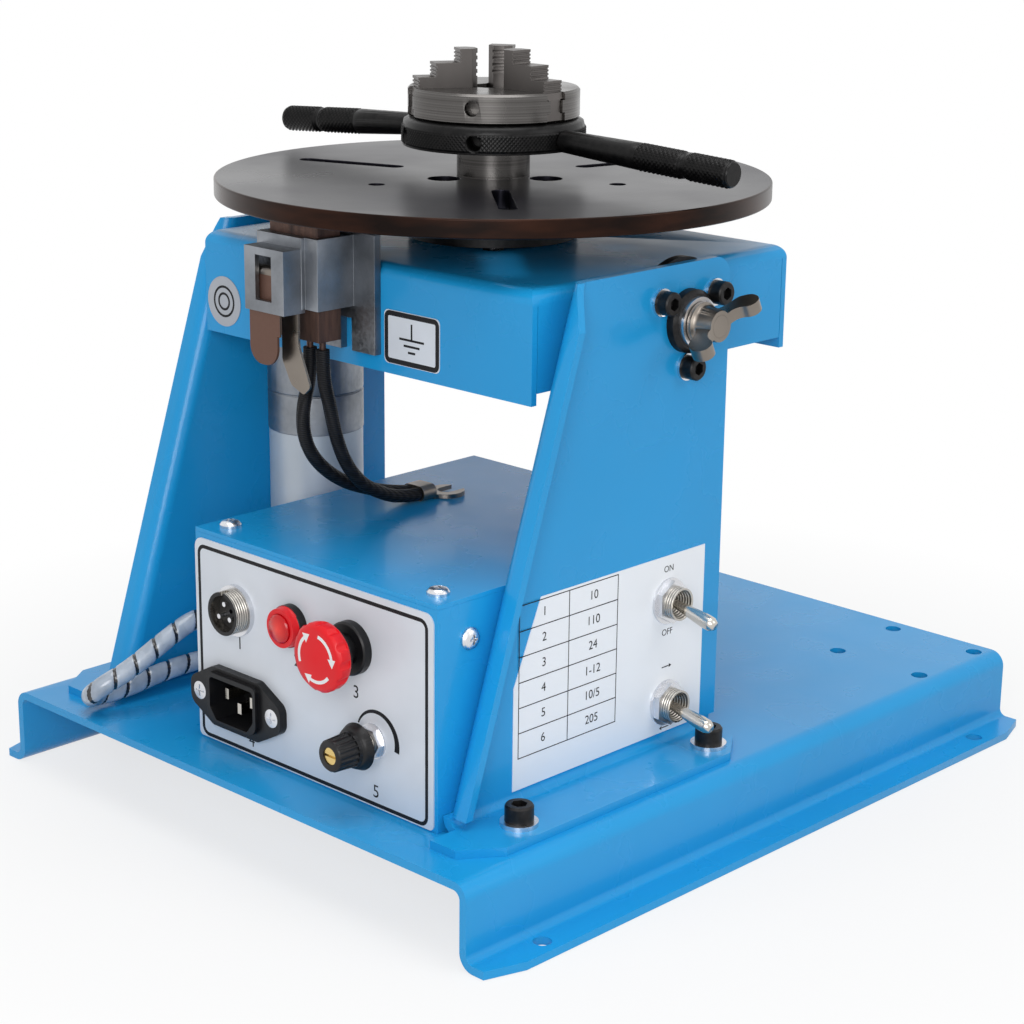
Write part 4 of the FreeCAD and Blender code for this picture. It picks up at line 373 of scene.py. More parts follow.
def cast():
    """Bead-blasted cast alloy."""
    finish = Finish("cast_alloy", metallic=1.0)
    grain = finish.noise(700.0, 4.0)
    finish.set("Base Color", finish.blend(finish.noise(45.0), 0.3, 0.7, (0.16, 0.17, 0.185),
                                          (0.32, 0.34, 0.37)))
    finish.set("Roughness", finish.span(grain, 0.3, 0.7, 0.34, 0.52))
    finish.relief(grain, 0.0001)
    return finish.material


def plain(name, colour, roughness, grain=600.0, **sockets):
    """Moulded, painted or printed surface with a fine grain and a slightly varied tone."""
    finish = Finish(name, **sockets)
    fine = finish.noise(grain)
    finish.set("Base Color", finish.blend(finish.noise(50.0, 2.0), 0.3, 0.7, shade(colour, 0.95),
                                          shade(colour, 1.03)))
    finish.set("Roughness", finish.span(fine, 0.3, 0.7, roughness, roughness + 0.1))
    finish.relief(fine, 0.00004, 0.4)
    return finish.material


def copper_graphite():
    """Pressed copper-graphite with drag marks down its faces."""
    finish = Finish("copper_graphite", metallic=0.6)
    drag = finish.noise(120.0, 4.0, finish.moved(scale=(3, 3, 0.4)))
    speck = finish.noise(1500.0, 2.0)
    finish.set("Base Color", finish.blend(drag, 0.3, 0.7, (0.050, 0.030, 0.026), (0.15, 0.080, 0.058)))
    finish.set("Roughness", finish.span(speck, 0.3, 0.7, 0.34, 0.56))
    finish.relief(speck, 0.00008)
    return finish.material


def braided_sleeve():
    """Black braided sleeve: two sets of strands cross along the lead."""
    finish = Finish("braided_sleeve", specular_ior_level=0.2)
    x, y, z = finish.axes()
    slant = 2 * math.pi / 0.0016
    one = ((z + 0.6 * x) * slant).sine()
    two = ((z - 0.6 * x + 0.5 * y) * slant).sine()
    weave = one * two
    finish.set("Base Color", finish.blend(weave, -0.6, 0.8, (0.002, 0.002, 0.003), (0.012, 0.012, 0.014)))
    finish.set("Roughness", finish.span(weave, -1.0, 1.0, 0.6, 0.45))
    finish.relief(weave, 0.0002)
    return finish.material


def spiral_wrap(gap):
    """Translucent spiral wrap, with the dark cable in its gaps; U counts turns and V goes once round."""
    finish = Finish("spiral_wrap", coat_weight=0.4)
    turns, round_it = finish.uv()
    shown = abs((turns + round_it).fraction() - 0.5) > 0.5 - gap / 2
    cloud = finish.noise(110.0)
    sleeve = finish.blend(cloud, 0.3, 0.7, (0.28, 0.33, 0.40), (0.50, 0.55, 0.62))
    finish.set("Base Color", finish.mix(shown, sleeve, (0.012, 0.012, 0.014)))
    finish.set("Roughness", finish.span(cloud, 0.3, 0.7, 0.2, 0.34))
    finish.relief(1.0 - shown, 0.0002, 0.6)
    return finish.material


def lamp_red():
    """Red pilot lens with painted light: brighter at its middle, darker towards its rim."""
    finish = Finish("lamp_red", coat_weight=0.2, coat_roughness=0.1, specular_ior_level=0.3)
    x, z = finish.axes(finish.moved(centre("lamp_lens")))[::2]
    radius = (x * x + z * z).root()
    # painted light: the colour is brightest at the lens's middle and darkens towards its rim
    finish.set("Base Color", finish.blend(radius, 0.0, 0.005, (0.90, 0.045, 0.030), (0.50, 0.004, 0.008)))
    finish.set("Roughness", finish.span(finish.noise(200.0), 0.3, 0.7, 0.12, 0.2))
    return finish.material


FINISHES = {}
SLOT_FINISH = {
    "blue_paint": "enamel", "black_oxide": "oxide", "zinc": "zinc", "polished_steel": "nickel",
    "ground_steel": "steel", "blued_steel": "blued", "cast_alloy": "cast", "motor_grey": "motor",
    "white_label": "film", "red_plastic": "red", "red_lens": "lamp", "black_plastic": "black_plastic",
    "brass": "brass", "green_board": "board", "copper_graphite": "graphite", "black_rubber": "sleeve",
    "clear_wrap": "wrap",
}


# ---------------------------------------------------------------- making and placing pieces
def place_piece(name, shape, finishes, body, slot, angle=35.0):
    """Makes an object of a bmesh, shades it and hangs it on its body."""
    mesh = bpy.data.meshes.new(name)
    shape.to_mesh(mesh)
    shape.free()
    for finish in finishes:
        mesh.materials.append(FINISHES[finish])
    mesh.polygons.foreach_set("use_smooth", [True] * len(mesh.polygons))
    mesh.set_sharp_from_angle(angle=math.radians(angle))
    made = bpy.data.objects.new(name, mesh)
    bpy.context.scene.collection.objects.link(made)
    if body:
        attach(made, body)
    return made


def merged_copy(node):
    """The node's own triangles as one joined surface."""
    shape = bmesh.new()
    shape.from_mesh(NODES[node].data)
    bmesh.ops.remove_doubles(shape, verts=shape.verts, dist=1e-6)
    flat = math.radians(0.6)
    bmesh.ops.dissolve_limit(shape, angle_limit=flat, verts=shape.verts, edges=shape.edges)
    return shape


def dress(node, finish=None, edge=0.0, others=(), shape=None):
    """Stands a merged copy of a node, or a given shape, in for it; edge rounds its sharp edges.

    others holds (finish, test) pairs: a face whose middle passes the test takes that finish."""
    shape = shape or merged_copy(node)
    for number, (_, test) in enumerate(others, 1):
        for face in shape.faces:
            if test(face.calc_center_median()):
                face.material_index = number
    slot = SLOTS[node]
    finishes = [finish or SLOT_FINISH[slot]] + [name for name, _ in others]
    made = place_piece(node + "_finished", shape, finishes, NODES[node]["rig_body"], slot)
    if edge:
        bevel = made.modifiers.new("Edge", "BEVEL")
        bevel.width = edge
        bevel.segments = 2
        bevel.angle_limit = math.radians(40)
        bevel.harden_normals = True
    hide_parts(node)
    return made


def woven(columns, rows, place, turns=1.0):
    """A grid bent into shape: place(u, v) gives the point for u and v from 0 to 1; U runs to turns."""
    shape = bmesh.new()
    layer = shape.loops.layers.uv.new("UVMap")
    bmesh.ops.create_grid(shape, x_segments=columns, y_segments=rows, size=0.5)
    for face in shape.faces:
        for loop in face.loops:
            loop[layer].uv = ((loop.vert.co.x + 0.5) * turns, loop.vert.co.y + 0.5)
    for vert in shape.verts:
        vert.co = place(vert.co.x + 0.5, vert.co.y + 0.5)
    bmesh.ops.remove_doubles(shape, verts=shape.verts, dist=1e-7)
    return shape


def capped(shape):
    """Closes the open ends and turns every face outwards."""
    rims = [edge for edge in shape.edges if edge.is_boundary]
    bmesh.ops.holes_fill(shape, edges=rims, sides=0)
    bmesh.ops.recalc_face_normals(shape, faces=shape.faces)
    return shape


def raised(shape, height):
    """Gives a flat sheet in the XY plane a thickness."""
    grown = bmesh.ops.extrude_face_region(shape, geom=shape.faces[:])
    top = [item for item in grown["geom"] if isinstance(item, bmesh.types.BMVert)]
    bmesh.ops.translate(shape, vec=(0, 0, height), verts=top)
    bmesh.ops.recalc_face_normals(shape, faces=shape.faces)
    return shape


def gathered(shapes):
    """One bmesh of several."""
    whole = bmesh.new()
    for shape in shapes:
        mesh = bpy.data.meshes.new("shape")
        shape.to_mesh(mesh)
        shape.free()
        whole.from_mesh(mesh)
        bpy.data.meshes.remove(mesh)
    return whole


def front(x, z, y=None):
    """Stands the XY plane upright at x, z on a face that looks towards -Y."""
    y = PANEL_FACE if y is None else y
    return Matrix(((1, 0, 0, x), (0, 0, -1, y), (0, 1, 0, z), (0, 0, 0, 1)))


def side(y, z):
    """Stands the XY plane upright at y, z on the side label, which looks towards +X."""
    return Matrix(((0, 0, 1, SIDE_FACE), (1, 0, 0, y), (0, 1, 0, z), (0, 0, 0, 1)))


def stroke(points, width, closed=False):
    """Line of ink along (x, y) points; width is a number, or a function of the share of the way."""
    count = len(points)
    runs = count if closed else count - 1

    def at(u, v):
        step = round(u * runs)
        here = Vector(points[step % count])
        last = points[(step - 1) % count] if closed or step else here
        coming = points[(step + 1) % count] if closed or step < runs else here
        along = (Vector(coming) - Vector(last)).normalized()
        wide = width(u) if callable(width) else width
        across = Vector((-along.y, along.x)) * wide * (v - 0.5)
        return Vector((here.x + across.x, here.y + across.y, 0))

    return raised(woven(runs, 1, at), bpy.context.scene.positioner_trim.ink_height)


def rounded_outline(left, right, low, high, radius, steps=6):
    """Points round a rectangle with round corners."""
    corners = ((right - radius, high - radius), (left + radius, high - radius),
               (left + radius, low + radius), (right - radius, low + radius))
    points = []
    for quarter, (x, y) in enumerate(corners):
        for step in range(steps + 1):
            angle = math.radians(90 * (quarter + step / steps))
            points.append((x + radius * math.cos(angle), y + radius * math.sin(angle)))
    return points


def arc(radius, start, end, steps=24, x=0.0, y=0.0):
    """Points along an arc, from start to end in degrees."""
    angles = [math.radians(start + (end - start) * step / steps) for step in range(steps + 1)]
    return [(x + radius * math.cos(angle), y + radius * math.sin(angle)) for angle in angles]


def arrow_head(x, y, heading, size):
    """Triangle of ink whose point is ahead of x, y."""
    shape = bmesh.new()
    bmesh.ops.create_circle(shape, cap_ends=True, segments=3, radius=size)
    turn = Matrix.Rotation(math.radians(heading - 90), 4, "Z")
    bmesh.ops.transform(shape, matrix=Matrix.Translation((x, y, 0)) @ turn, verts=shape.verts)
    return raised(shape, bpy.context.scene.positioner_trim.ink_height)


def lettering(text, size, x=0.0, y=0.0):
    """Text of ink centred on x, y."""
    curve = bpy.data.curves.new("lettering", "FONT")
    curve.body = text
    curve.size = size
    curve.align_x = "CENTER"
    curve.align_y = "CENTER"
    holder = bpy.data.objects.new("lettering", curve)
    mesh = bpy.data.meshes.new_from_object(holder)
    shape = bmesh.new()
    shape.from_mesh(mesh)
    bmesh.ops.remove_doubles(shape, verts=shape.verts, dist=1e-7)
    bmesh.ops.translate(shape, vec=(x, y, 0), verts=shape.verts)
    bpy.data.objects.remove(holder)
    bpy.data.meshes.remove(mesh)
    bpy.data.curves.remove(curve)
    return raised(shape, bpy.context.scene.positioner_trim.ink_height)


def print_on(name, shapes, place, finish, body, slot="white_label"):
    """Prints shapes drawn in the XY plane on a face of the object."""
    shape = gathered(shapes)
    bmesh.ops.transform(shape, matrix=place, verts=shape.verts)
    return place_piece(name, shape, [finish], body, slot)


# ---------------------------------------------------------------- cords
CABLE_ROUTE = (
    (-0.0620, -0.05395, 0.0656), (-0.0626, -0.0605, 0.0593), (-0.0634, -0.0740, 0.0588),
    (-0.0644, -0.0920, 0.0624), (-0.0660, -0.1120, 0.0636), (-0.0686, -0.1260, 0.0566),
    (-0.0723, -0.1390, 0.0476), (-0.0767, -0.1515, 0.0416), (-0.0826, -0.1515, 0.0366),
    (-0.0862, -0.1450, 0.0346), (-0.0840, -0.1330, 0.0352), (-0.0834, -0.1190, 0.0374),
    (-0.0828, -0.1000, 0.0384), (-0.0814, -0.0700, 0.0364), (-0.0750, -0.0460, 0.0352),
    (-0.0665, -0.0270, 0.0394), (-0.0545, -0.0160, 0.0430), (-0.0430, -0.0160, 0.0430),
)
LEAD_EXITS = {"earth_lead_1": (-0.0115, -0.10055, 0.1755), "earth_lead_2": (-0.0048, -0.10055, 0.1755)}
LEAD_ROUTES = {
    "earth_lead_1": (
        (0, 0, 0), (0, 0, -0.0106), (0.0002, -0.0040, -0.0210), (0.0007, -0.0044, -0.0314),
        (0.0016, -0.0010, -0.0400), (0.0020, 0.0060, -0.0470), (0.0021, 0.0145, -0.0525),
        (0.0022, 0.0245, -0.0565), (0.0024, 0.0350, -0.0600), (0.0029, 0.0450, -0.0618),
    ),
    "earth_lead_2": (
        (0, 0, 0), (0, 0, -0.0100), (0.0004, 0.0026, -0.0205), (0.0007, 0.0048, -0.0315),
        (0.0009, 0.0090, -0.0425), (0.0010, 0.0165, -0.0520), (0.0012, 0.0270, -0.0580),
        (0.0013, 0.0364, -0.0612), (0.0014, 0.0450, -0.0618),
    ),
}


def route_curve(name, points, radius=0.0):
    """Curve object along a route, round in section where it has a radius."""
    curve = bpy.data.curves.new(name, "CURVE")
    curve.dimensions = "3D"
    spline = curve.splines.new("NURBS")
    spline.points.add(len(points) - 1)
    for point, spot in zip(spline.points, points):
        point.co = (*spot, 1)
    spline.order_u = 3
    spline.use_endpoint_u = True
    spline.resolution_u = 16
    curve.bevel_depth = radius
    curve.bevel_resolution = 6
    curve.use_fill_caps = radius > 0
    return bpy.data.objects.new(name, curve)


def route_line(points):
    """Close points along a route's own line."""
    holder = route_curve("route", points)
    mesh = bpy.data.meshes.new_from_object(holder)
    line = [vert.co.copy() for vert in mesh.vertices]
    curve = holder.data
    bpy.data.objects.remove(holder)
    bpy.data.meshes.remove(mesh)
    bpy.data.curves.remove(curve)
    return line


def length_of(line):
    return sum((after - before).length for before, after in zip(line, line[1:]))


def evenly(line, count):
    """Points that divide a line into count equal runs."""
    total, walked, step = length_of(line), 0.0, 0
    spots = []
    for number in range(count + 1):
        wanted = total * number / count
        run = line[step + 1] - line[step]
        while step < len(line) - 2 and walked + run.length < wanted:
            walked += run.length
            step += 1
            run = line[step + 1] - line[step]
        spots.append(line[step] + run * min(1.0, (wanted - walked) / run.length))
    return spots


def frames_along(spots):
    """Each spot with two directions across the line, carried along it without twist."""
    across = (spots[1] - spots[0]).orthogonal().normalized()
    frames = []
    for number, spot in enumerate(spots):
        along = (spots[min(number + 1, len(spots) - 1)] - spots[max(number - 1, 0)]).normalized()
        across = (across - along * across.dot(along)).normalized()
        frames.append((spot, across, along.cross(across)))
    return frames


RING_SPACING = 0.0006
GAP_DEPTH = 0.90        # radius in the wrap's gaps, as a share of the full one


class POSITIONER_OT_motor_cable(Operator):
    """Motor cable in its spiral wrap, from the motor's foot round to the box's gland"""
    bl_idname = "positioner.motor_cable"
    bl_label = "Motor cable"

    def execute(self, context):
        cords = context.scene.positioner_cords
        line = route_line(CABLE_ROUTE)
        length = length_of(line)
        radius = cords.cable / 2
        columns, sides = round(length / RING_SPACING), 36
        turns = length / cords.wrap_pitch
        frames = frames_along(evenly(line, columns))

        def at(u, v):
            spot, across, upward = frames[round(u * columns)]
            open_here = abs((u * turns + v) % 1 - 0.5) > 0.5 - cords.wrap_gap / 2
            reach = radius * (GAP_DEPTH if open_here else 1.0)
            angle = 2 * math.pi * v
            return spot + (across * math.cos(angle) + upward * math.sin(angle)) * reach

        tube = capped(woven(columns, sides, at, turns))
        cable = place_piece("motor_cable_finished", tube, ["wrap"], None, SLOTS["motor_cable"])
        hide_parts("motor_cable")
        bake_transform(cable)
        return {"FINISHED"}


class POSITIONER_OT_earth_leads(Operator):
    """Two braided earth leads from the brush down to their fork terminal"""
    bl_idname = "positioner.earth_leads"
    bl_label = "Earth leads"

    def execute(self, context):
        diameter = context.scene.positioner_cords.lead
        fork = dress("fork_terminal", "wing", edge=0.0001)
        for node, run in LEAD_ROUTES.items():
            start = Vector(LEAD_EXITS[node])
            points = [start + Vector(offset) for offset in run]
            lead = route_curve(node + "_finished", points, diameter / 2)
            lead.data.materials.append(FINISHES["sleeve"])
            context.scene.collection.objects.link(lead)
            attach(lead, NODES[node]["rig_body"])
            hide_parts(node)
            length_of(route_line(points))
        return {"FINISHED"}


# ---------------------------------------------------------------- knurling
def tooth(share):
    """Triangle wave from 0 in a valley to 1 on a ridge."""
    return 1 - abs(2 * (share % 1) - 1)


def knurled_band(radius, start, end, at_point, pitch, depth):
    """Sleeve of diamonds round an axis: at_point(radius, angle, height) gives a point."""
    around = round(2 * math.pi * radius / pitch)
    along = max(2, round((end - start) / pitch))

    def at(u, v):
        one, two = u * around + v * along, u * around - v * along
        ridge = min(1.0, 1.6 * min(tooth(one), tooth(two)))
        fade = 1.0 if 0.001 < v < 0.999 else 0.0
        return at_point(radius - depth * (1 - ridge * fade), 2 * math.pi * u, start + (end - start) * v)

    band = woven(4 * around, 4 * along, at)
    bmesh.ops.recalc_face_normals(band, faces=band.faces)
    return band


class POSITIONER_OT_scroll_ring(Operator):
    """Scroll ring of the chuck, diamond-knurled between its bar holes"""
    bl_idname = "positioner.scroll_ring"
    bl_label = "Scroll ring"

    def execute(self, context):
        trim = context.scene.positioner_trim
        low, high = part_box("scroll_ring")
        radius = high.x - SPINDLE.x
        start, end = low.z + 0.0007, high.z - 0.0030
        hole_height, hole_radius = low.z + 0.0039, 0.0031
        pitch = 0.8 * trim.knurl_pitch
        body = merged_copy("scroll_ring")
        for vert in body.verts:
            out = Vector((vert.co.x - SPINDLE.x, vert.co.y - SPINDLE.y))
            if out.length > radius - 0.0001:
                vert.co.xy = SPINDLE.xy + out * (1 - 1.1 * trim.knurl_depth / radius)

        def at_point(reach, angle, height):
            return Vector((SPINDLE.x + reach * math.cos(angle), SPINDLE.y + reach * math.sin(angle),
                           height))

        band = knurled_band(radius, start, end, at_point, pitch, trim.knurl_depth)
        sixth = math.radians(60)
        first = math.atan2(JOINTS["bar_right_pull"]["axis"][1], JOINTS["bar_right_pull"]["axis"][0])
        holes = []
        for face in band.faces:
            middle = face.calc_center_median() - SPINDLE
            off = (math.atan2(middle.y, middle.x) - first + sixth / 2) % sixth - sixth / 2
            if math.hypot(off * radius, middle.z + SPINDLE.z - hole_height) < hole_radius:
                holes.append(face)
        bmesh.ops.delete(band, geom=holes, context="FACES")
        dress("scroll_ring", "knurl", shape=gathered([body, band]))
        return {"FINISHED"}


class POSITIONER_OT_tommy_bars(Operator):
    """Two tommy bars with knurled grips"""
    bl_idname = "positioner.tommy_bars"
    bl_label = "Tommy bars"

    def execute(self, context):
        trim = context.scene.positioner_trim
        ring_low, ring_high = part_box("scroll_ring")
        ring_radius = ring_high.x - SPINDLE.x
        for node in ("tommy_bar_right", "tommy_bar_left"):
            outward = Vector(JOINTS[NODES[node]["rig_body"] + "_pull"]["axis"]).normalized()
            level = Vector((outward.x, outward.y, 0)).normalized()
            start = SPINDLE + level * ring_radius
            start.z = ring_low.z + 0.0040
            across = outward.orthogonal().normalized()
            upward = outward.cross(across)
            body = merged_copy(node)
            far = max((vert.co - start).dot(outward) for vert in body.verts)
            thick = max(((vert.co - start) - outward * (vert.co - start).dot(outward)).length
                        for vert in body.verts)
            for vert in body.verts:
                along = (vert.co - start).dot(outward)
                foot = start + outward * along
                if (vert.co - foot).length > thick - 0.0001:
                    vert.co = foot + (vert.co - foot) * (1 - 1.1 * trim.knurl_depth / thick)

            def at_point(reach, angle, height):
                return start + outward * height + (across * math.cos(angle)
                                                   + upward * math.sin(angle)) * reach

            grips = [knurled_band(thick, far * near, far * end, at_point, trim.knurl_pitch,
                                  trim.knurl_depth)
                     for near, end in ((0.470, 0.720), (0.760, 0.987))]
            dress(node, "knurl", shape=gathered([body] + grips))
        return {"FINISHED"}


# ---------------------------------------------------------------- finishes and plain pieces
class POSITIONER_OT_finishes(Operator):
    """Builds the procedural finishes"""
    bl_idname = "positioner.finishes"
    bl_label = "Finishes"

    def execute(self, context):
        paint = context.scene.positioner_paint
        nickel = (0.62, 0.59, 0.54)
        FINISHES.update({
            "enamel": enamel(tuple(paint.enamel)),
            "oxide": oxide("black_oxide", 0.010, 0.34),
            "knurl": oxide("oiled_knurl", 0.005, 0.30),
            "zinc": plated("bright_zinc", (0.76, 0.77, 0.80), 0.2),
            "nickel": plated("nickel_plate", nickel, 0.14),
            "thread_x": threaded("nickel_thread_across", nickel, "X", 0.0010),
            "thread_y": threaded("nickel_thread_along", nickel, "Y", 0.0010),
            "steel": turned_steel(),
            "jaw": plated("ground_jaw", (0.13, 0.12, 0.115), 0.30),
            "wing": plated("dark_nickel", (0.26, 0.23, 0.20), 0.26),
            "blued": blued_table(),
            "cast": cast(),
            "motor": plain("motor_grey", (0.50, 0.54, 0.58), 0.36, metallic=0.3),
            "film": plain("label_film", tuple(paint.film), 0.30),
            "sticker": plain("grey_sticker", (0.40, 0.42, 0.46), 0.34, metallic=0.3),
            "ink": plain("black_ink", tuple(paint.ink), 0.5, specular_ior_level=0.2),
            "white_ink": plain("white_ink", (0.80, 0.80, 0.80), 0.4),
            "red": plain("red_plastic", tuple(paint.red), 0.30, specular_ior_level=0.3),
            "lamp": lamp_red(),
            "black_plastic": plain("black_plastic", (0.006, 0.006, 0.007), 0.34, specular_ior_level=0.3),
            "brass": plated("brass", (0.80, 0.60, 0.24), 0.22),
            "board": plain("green_board", (0.03, 0.20, 0.09), 0.4),
            "graphite": copper_graphite(),
            "strip": plain("copper_strip", (0.13, 0.065, 0.045), 0.4, metallic=0.5),
            "sleeve": braided_sleeve(),
            "wrap": spiral_wrap(context.scene.positioner_cords.wrap_gap),
        })
        return {"FINISHED"}


class POSITIONER_OT_base(Operator):
    """Base plate, brackets and their bolts"""
    bl_idname = "positioner.base"
    bl_label = "Base and brackets"

    def execute(self, context):
        edge = context.scene.positioner_trim.edge
        for node in ("base_plate", "bracket_left", "bracket_right"):
            dress(node, edge=edge)
        dress("bracket_bolts", edge=edge / 2)
        dress("zinc_washers")
        return {"FINISHED"}


class POSITIONER_OT_pivots(Operator):
    """Tilt pivots: bushes, screws, studs, locknut and the clamping wing nut"""
    bl_idname = "positioner.pivots"
    bl_label = "Tilt pivots"

    def execute(self, context):
        edge = context.scene.positioner_trim.edge
        dress("pivot_bushes", edge=edge / 2)
        dress("pivot_screws", edge=edge / 2)
        dress("pivot_studs", "wing")
        dress("pivot_locknut", edge=edge / 2)
        dress("wing_nut", "wing", edge=edge)
        return {"FINISHED"}


class POSITIONER_OT_control_box(Operator):
    """Control box, its electronics, screws and side switches"""
    bl_idname = "positioner.control_box"
    bl_label = "Control box"

    def execute(self, context):
        edge = context.scene.positioner_trim.edge
        dress("control_tray", edge=edge / 2)
        dress("control_lid", edge=edge)
        dress("panel_screws", edge=edge / 3)
        dress("panel_nuts")
        dress("power_supply", edge=edge)
        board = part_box("control_board")[0].z + 0.0068
        dress("control_board", others=[("black_plastic", lambda spot: spot.z > board)])
        dress("cable_gland", edge=edge / 2)
        wall = centre("toggle_switches").x - 0.002
        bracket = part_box("bracket_right")[0].x
        dress("toggle_switches", "thread_x",
              others=[("black_plastic", lambda spot: spot.x < min(wall, bracket))])
        for node in ("power_lever", "direction_lever"):
            dress(node)
        return {"FINISHED"}


class POSITIONER_OT_panel(Operator):
    """Front panel with its socket, lamp, stop button, inlet and speed knob"""
    bl_idname = "positioner.panel"
    bl_label = "Front panel"

    def execute(self, context):
        edge = context.scene.positioner_trim.edge
        dress("panel_overlay")
        socket = centre("foot_socket")
        shell, pin = 0.0064, 0.0012

        def off_axis(spot):
            return math.hypot(spot.x - socket.x, spot.z - socket.z)

        def on_pin(spot):
            near = [math.hypot(spot.x - socket.x - 0.0034 * math.cos(turn),
                               spot.z - socket.z - 0.0034 * math.sin(turn))
                    for turn in (math.radians(angle) for angle in (90, 210, 330))]
            return min(near) < pin

        inner_wall = ("nickel", lambda spot: off_axis(spot) < shell + 0.0008)
        insulator = ("black_plastic", lambda spot: off_axis(spot) < shell)
        dress("foot_socket", "thread_y", others=[inner_wall, insulator, ("zinc", on_pin)])
        cap = PANEL_FACE - 0.0031
        dress("lamp_bezel", "black_plastic", others=[("red", lambda spot: spot.y < cap)])
        dress("lamp_lens")
        dress("stop_collar", edge=edge / 2)
        dress("stop_plunger")
        dress("stop_head", edge=edge)
        dress("power_inlet", edge=edge)
        dress("inlet_pins")
        dress("speed_pot", "thread_y")
        dress("speed_knob", edge=edge / 2)
        dress("knob_screw", edge=edge / 3)
        return {"FINISHED"}


class POSITIONER_OT_head(Operator):
    """Tilting frame with its bearings, spindle and drive"""
    bl_idname = "positioner.head"
    bl_label = "Tilting head"

    def execute(self, context):
        edge = context.scene.positioner_trim.edge
        dress("tilt_frame", edge=edge)
        dress("bearing_housing", edge=edge)
        dress("spindle_bearings", "zinc")
        dress("spindle", edge=edge / 2)
        dress("spindle_gear", "zinc")
        dress("motor_mount", edge=edge)
        dress("gearbox", edge=edge)
        dress("motor_can", edge=edge)
        dress("motor_pinion", "brass")
        dress("head_screws", edge=edge / 3)
        return {"FINISHED"}


class POSITIONER_OT_table(Operator):
    """Slotted turntable with its screws"""
    bl_idname = "positioner.table"
    bl_label = "Turntable"

    def execute(self, context):
        edge = context.scene.positioner_trim.edge
        dress("turntable", edge=1.5 * edge)
        dress("table_screws", edge=edge / 3)
        return {"FINISHED"}


class POSITIONER_OT_chuck(Operator):
    """Chuck body and its three stepped jaws"""
    bl_idname = "positioner.chuck"
    bl_label = "Chuck"

    def execute(self, context):
        edge = context.scene.positioner_trim.edge
        dress("chuck_body", edge=edge / 2)
        for node in ("jaw_1", "jaw_2", "jaw_3"):
            dress(node, "jaw", edge=edge / 3)
        return {"FINISHED"}


class POSITIONER_OT_earth_brush(Operator):
    """Earth brush in its cast holder, with its spring"""
    bl_idname = "positioner.earth_brush"
    bl_label = "Earth brush"

    def execute(self, context):
        edge = context.scene.positioner_trim.edge
        dress("brush_holder", edge=edge)
        dress("earth_brush", edge=edge / 2)
        tab_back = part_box("brush_spring")[0].y + 0.0020
        tab_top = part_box("brush_holder")[0].z + 0.0140
        dress("brush_spring", "wing", edge=edge / 3,
              others=[("strip", lambda spot: spot.y < tab_back and spot.z < tab_top)])
        return {"FINISHED"}


# ---------------------------------------------------------------- prints
FIGURE = 0.0066
FIGURE_SPOTS = {"1": (-0.0127, 0.0718), "2": (0.0184, 0.0734), "3": (0.0489, 0.0700),
                "4": (-0.0072, 0.0360),
                "5": (0.0586, 0.0363)}


class POSITIONER_OT_panel_print(Operator):
    """Frame, figures and speed scale printed on the front panel"""
    bl_idname = "positioner.panel_print"
    bl_label = "Panel print"

    def execute(self, context):
        low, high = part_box("panel_overlay")
        frame = rounded_outline(low.x + 0.0023, high.x - 0.0032, low.z + 0.0012, high.z - 0.0030, 0.0030)
        scale = arc(0.0100, 158, -12, x=0.0592, y=0.0557)
        shapes = [stroke(frame, 0.0014, closed=True),
                  stroke(scale, lambda share: 0.0007 + 0.0017 * share)]
        shapes += [lettering(figure, FIGURE, x, y) for figure, (x, y) in FIGURE_SPOTS.items()]
        print_on("panel_print", shapes, front(0, 0), "ink", "root")
        return {"FINISHED"}


class POSITIONER_OT_stop_print(Operator):
    """Three white arrows round the stop head, for the way that releases it"""
    bl_idname = "positioner.stop_print"
    bl_label = "Stop arrows"

    def execute(self, context):
        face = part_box("stop_head")[0].y
        middle = centre("stop_head")
        radius, tail, tip = 0.0082, 70, 76
        shapes = []
        for turn in (80, 200, 320):
            shapes.append(stroke(arc(radius, turn, turn - tail), 0.0012))
            angle = math.radians(turn - tip)
            x, z = radius * math.cos(angle), radius * math.sin(angle)
            shapes.append(arrow_head(x, z, turn - tip - 90, 0.0021))
        marks = print_on("stop_arrows", shapes, front(middle.x, middle.z, face), "white_ink", "stop_head",
                         "red_plastic")
        crown, rim = 0.0004, 0.0097
        for vert in marks.data.vertices:
            out = math.hypot(vert.co.x - middle.x, vert.co.z - middle.z)
            vert.co.y += crown * out / rim
        return {"FINISHED"}


class POSITIONER_OT_knob_mark(Operator):
    """White index line on the speed knob"""
    bl_idname = "positioner.knob_mark"
    bl_label = "Knob mark"

    def execute(self, context):
        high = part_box("speed_knob")[1]
        middle = centre("speed_knob")
        radius = high.x - middle.x
        line = [(0, 0.80 * radius), (0, 0.97 * radius)]
        print_on("knob_mark", [stroke(line, 0.0008)], front(middle.x, middle.z, high.y - 0.0002),
                 "white_ink",
                 "speed_knob", "black_plastic")
        return {"FINISHED"}


ROW = 0.00917
COLUMNS = (-0.0995, -0.0748, -0.0497)
GRID_TOP = 0.1030
GRID_FIGURE = 0.0046
SWITCH_FIGURE = 0.0034
SWITCH_WORDS = (("ON", 0.0990), ("OFF", 0.0750))    # word and height
SWITCH_ARROWS = ((0.0618, 1), (0.0382, -1))         # height and way along Y
RATINGS = (("1", "10"), ("2", "110"), ("3", "24"), ("4", "1-12"), ("5", "10/5"), ("6", "205"))


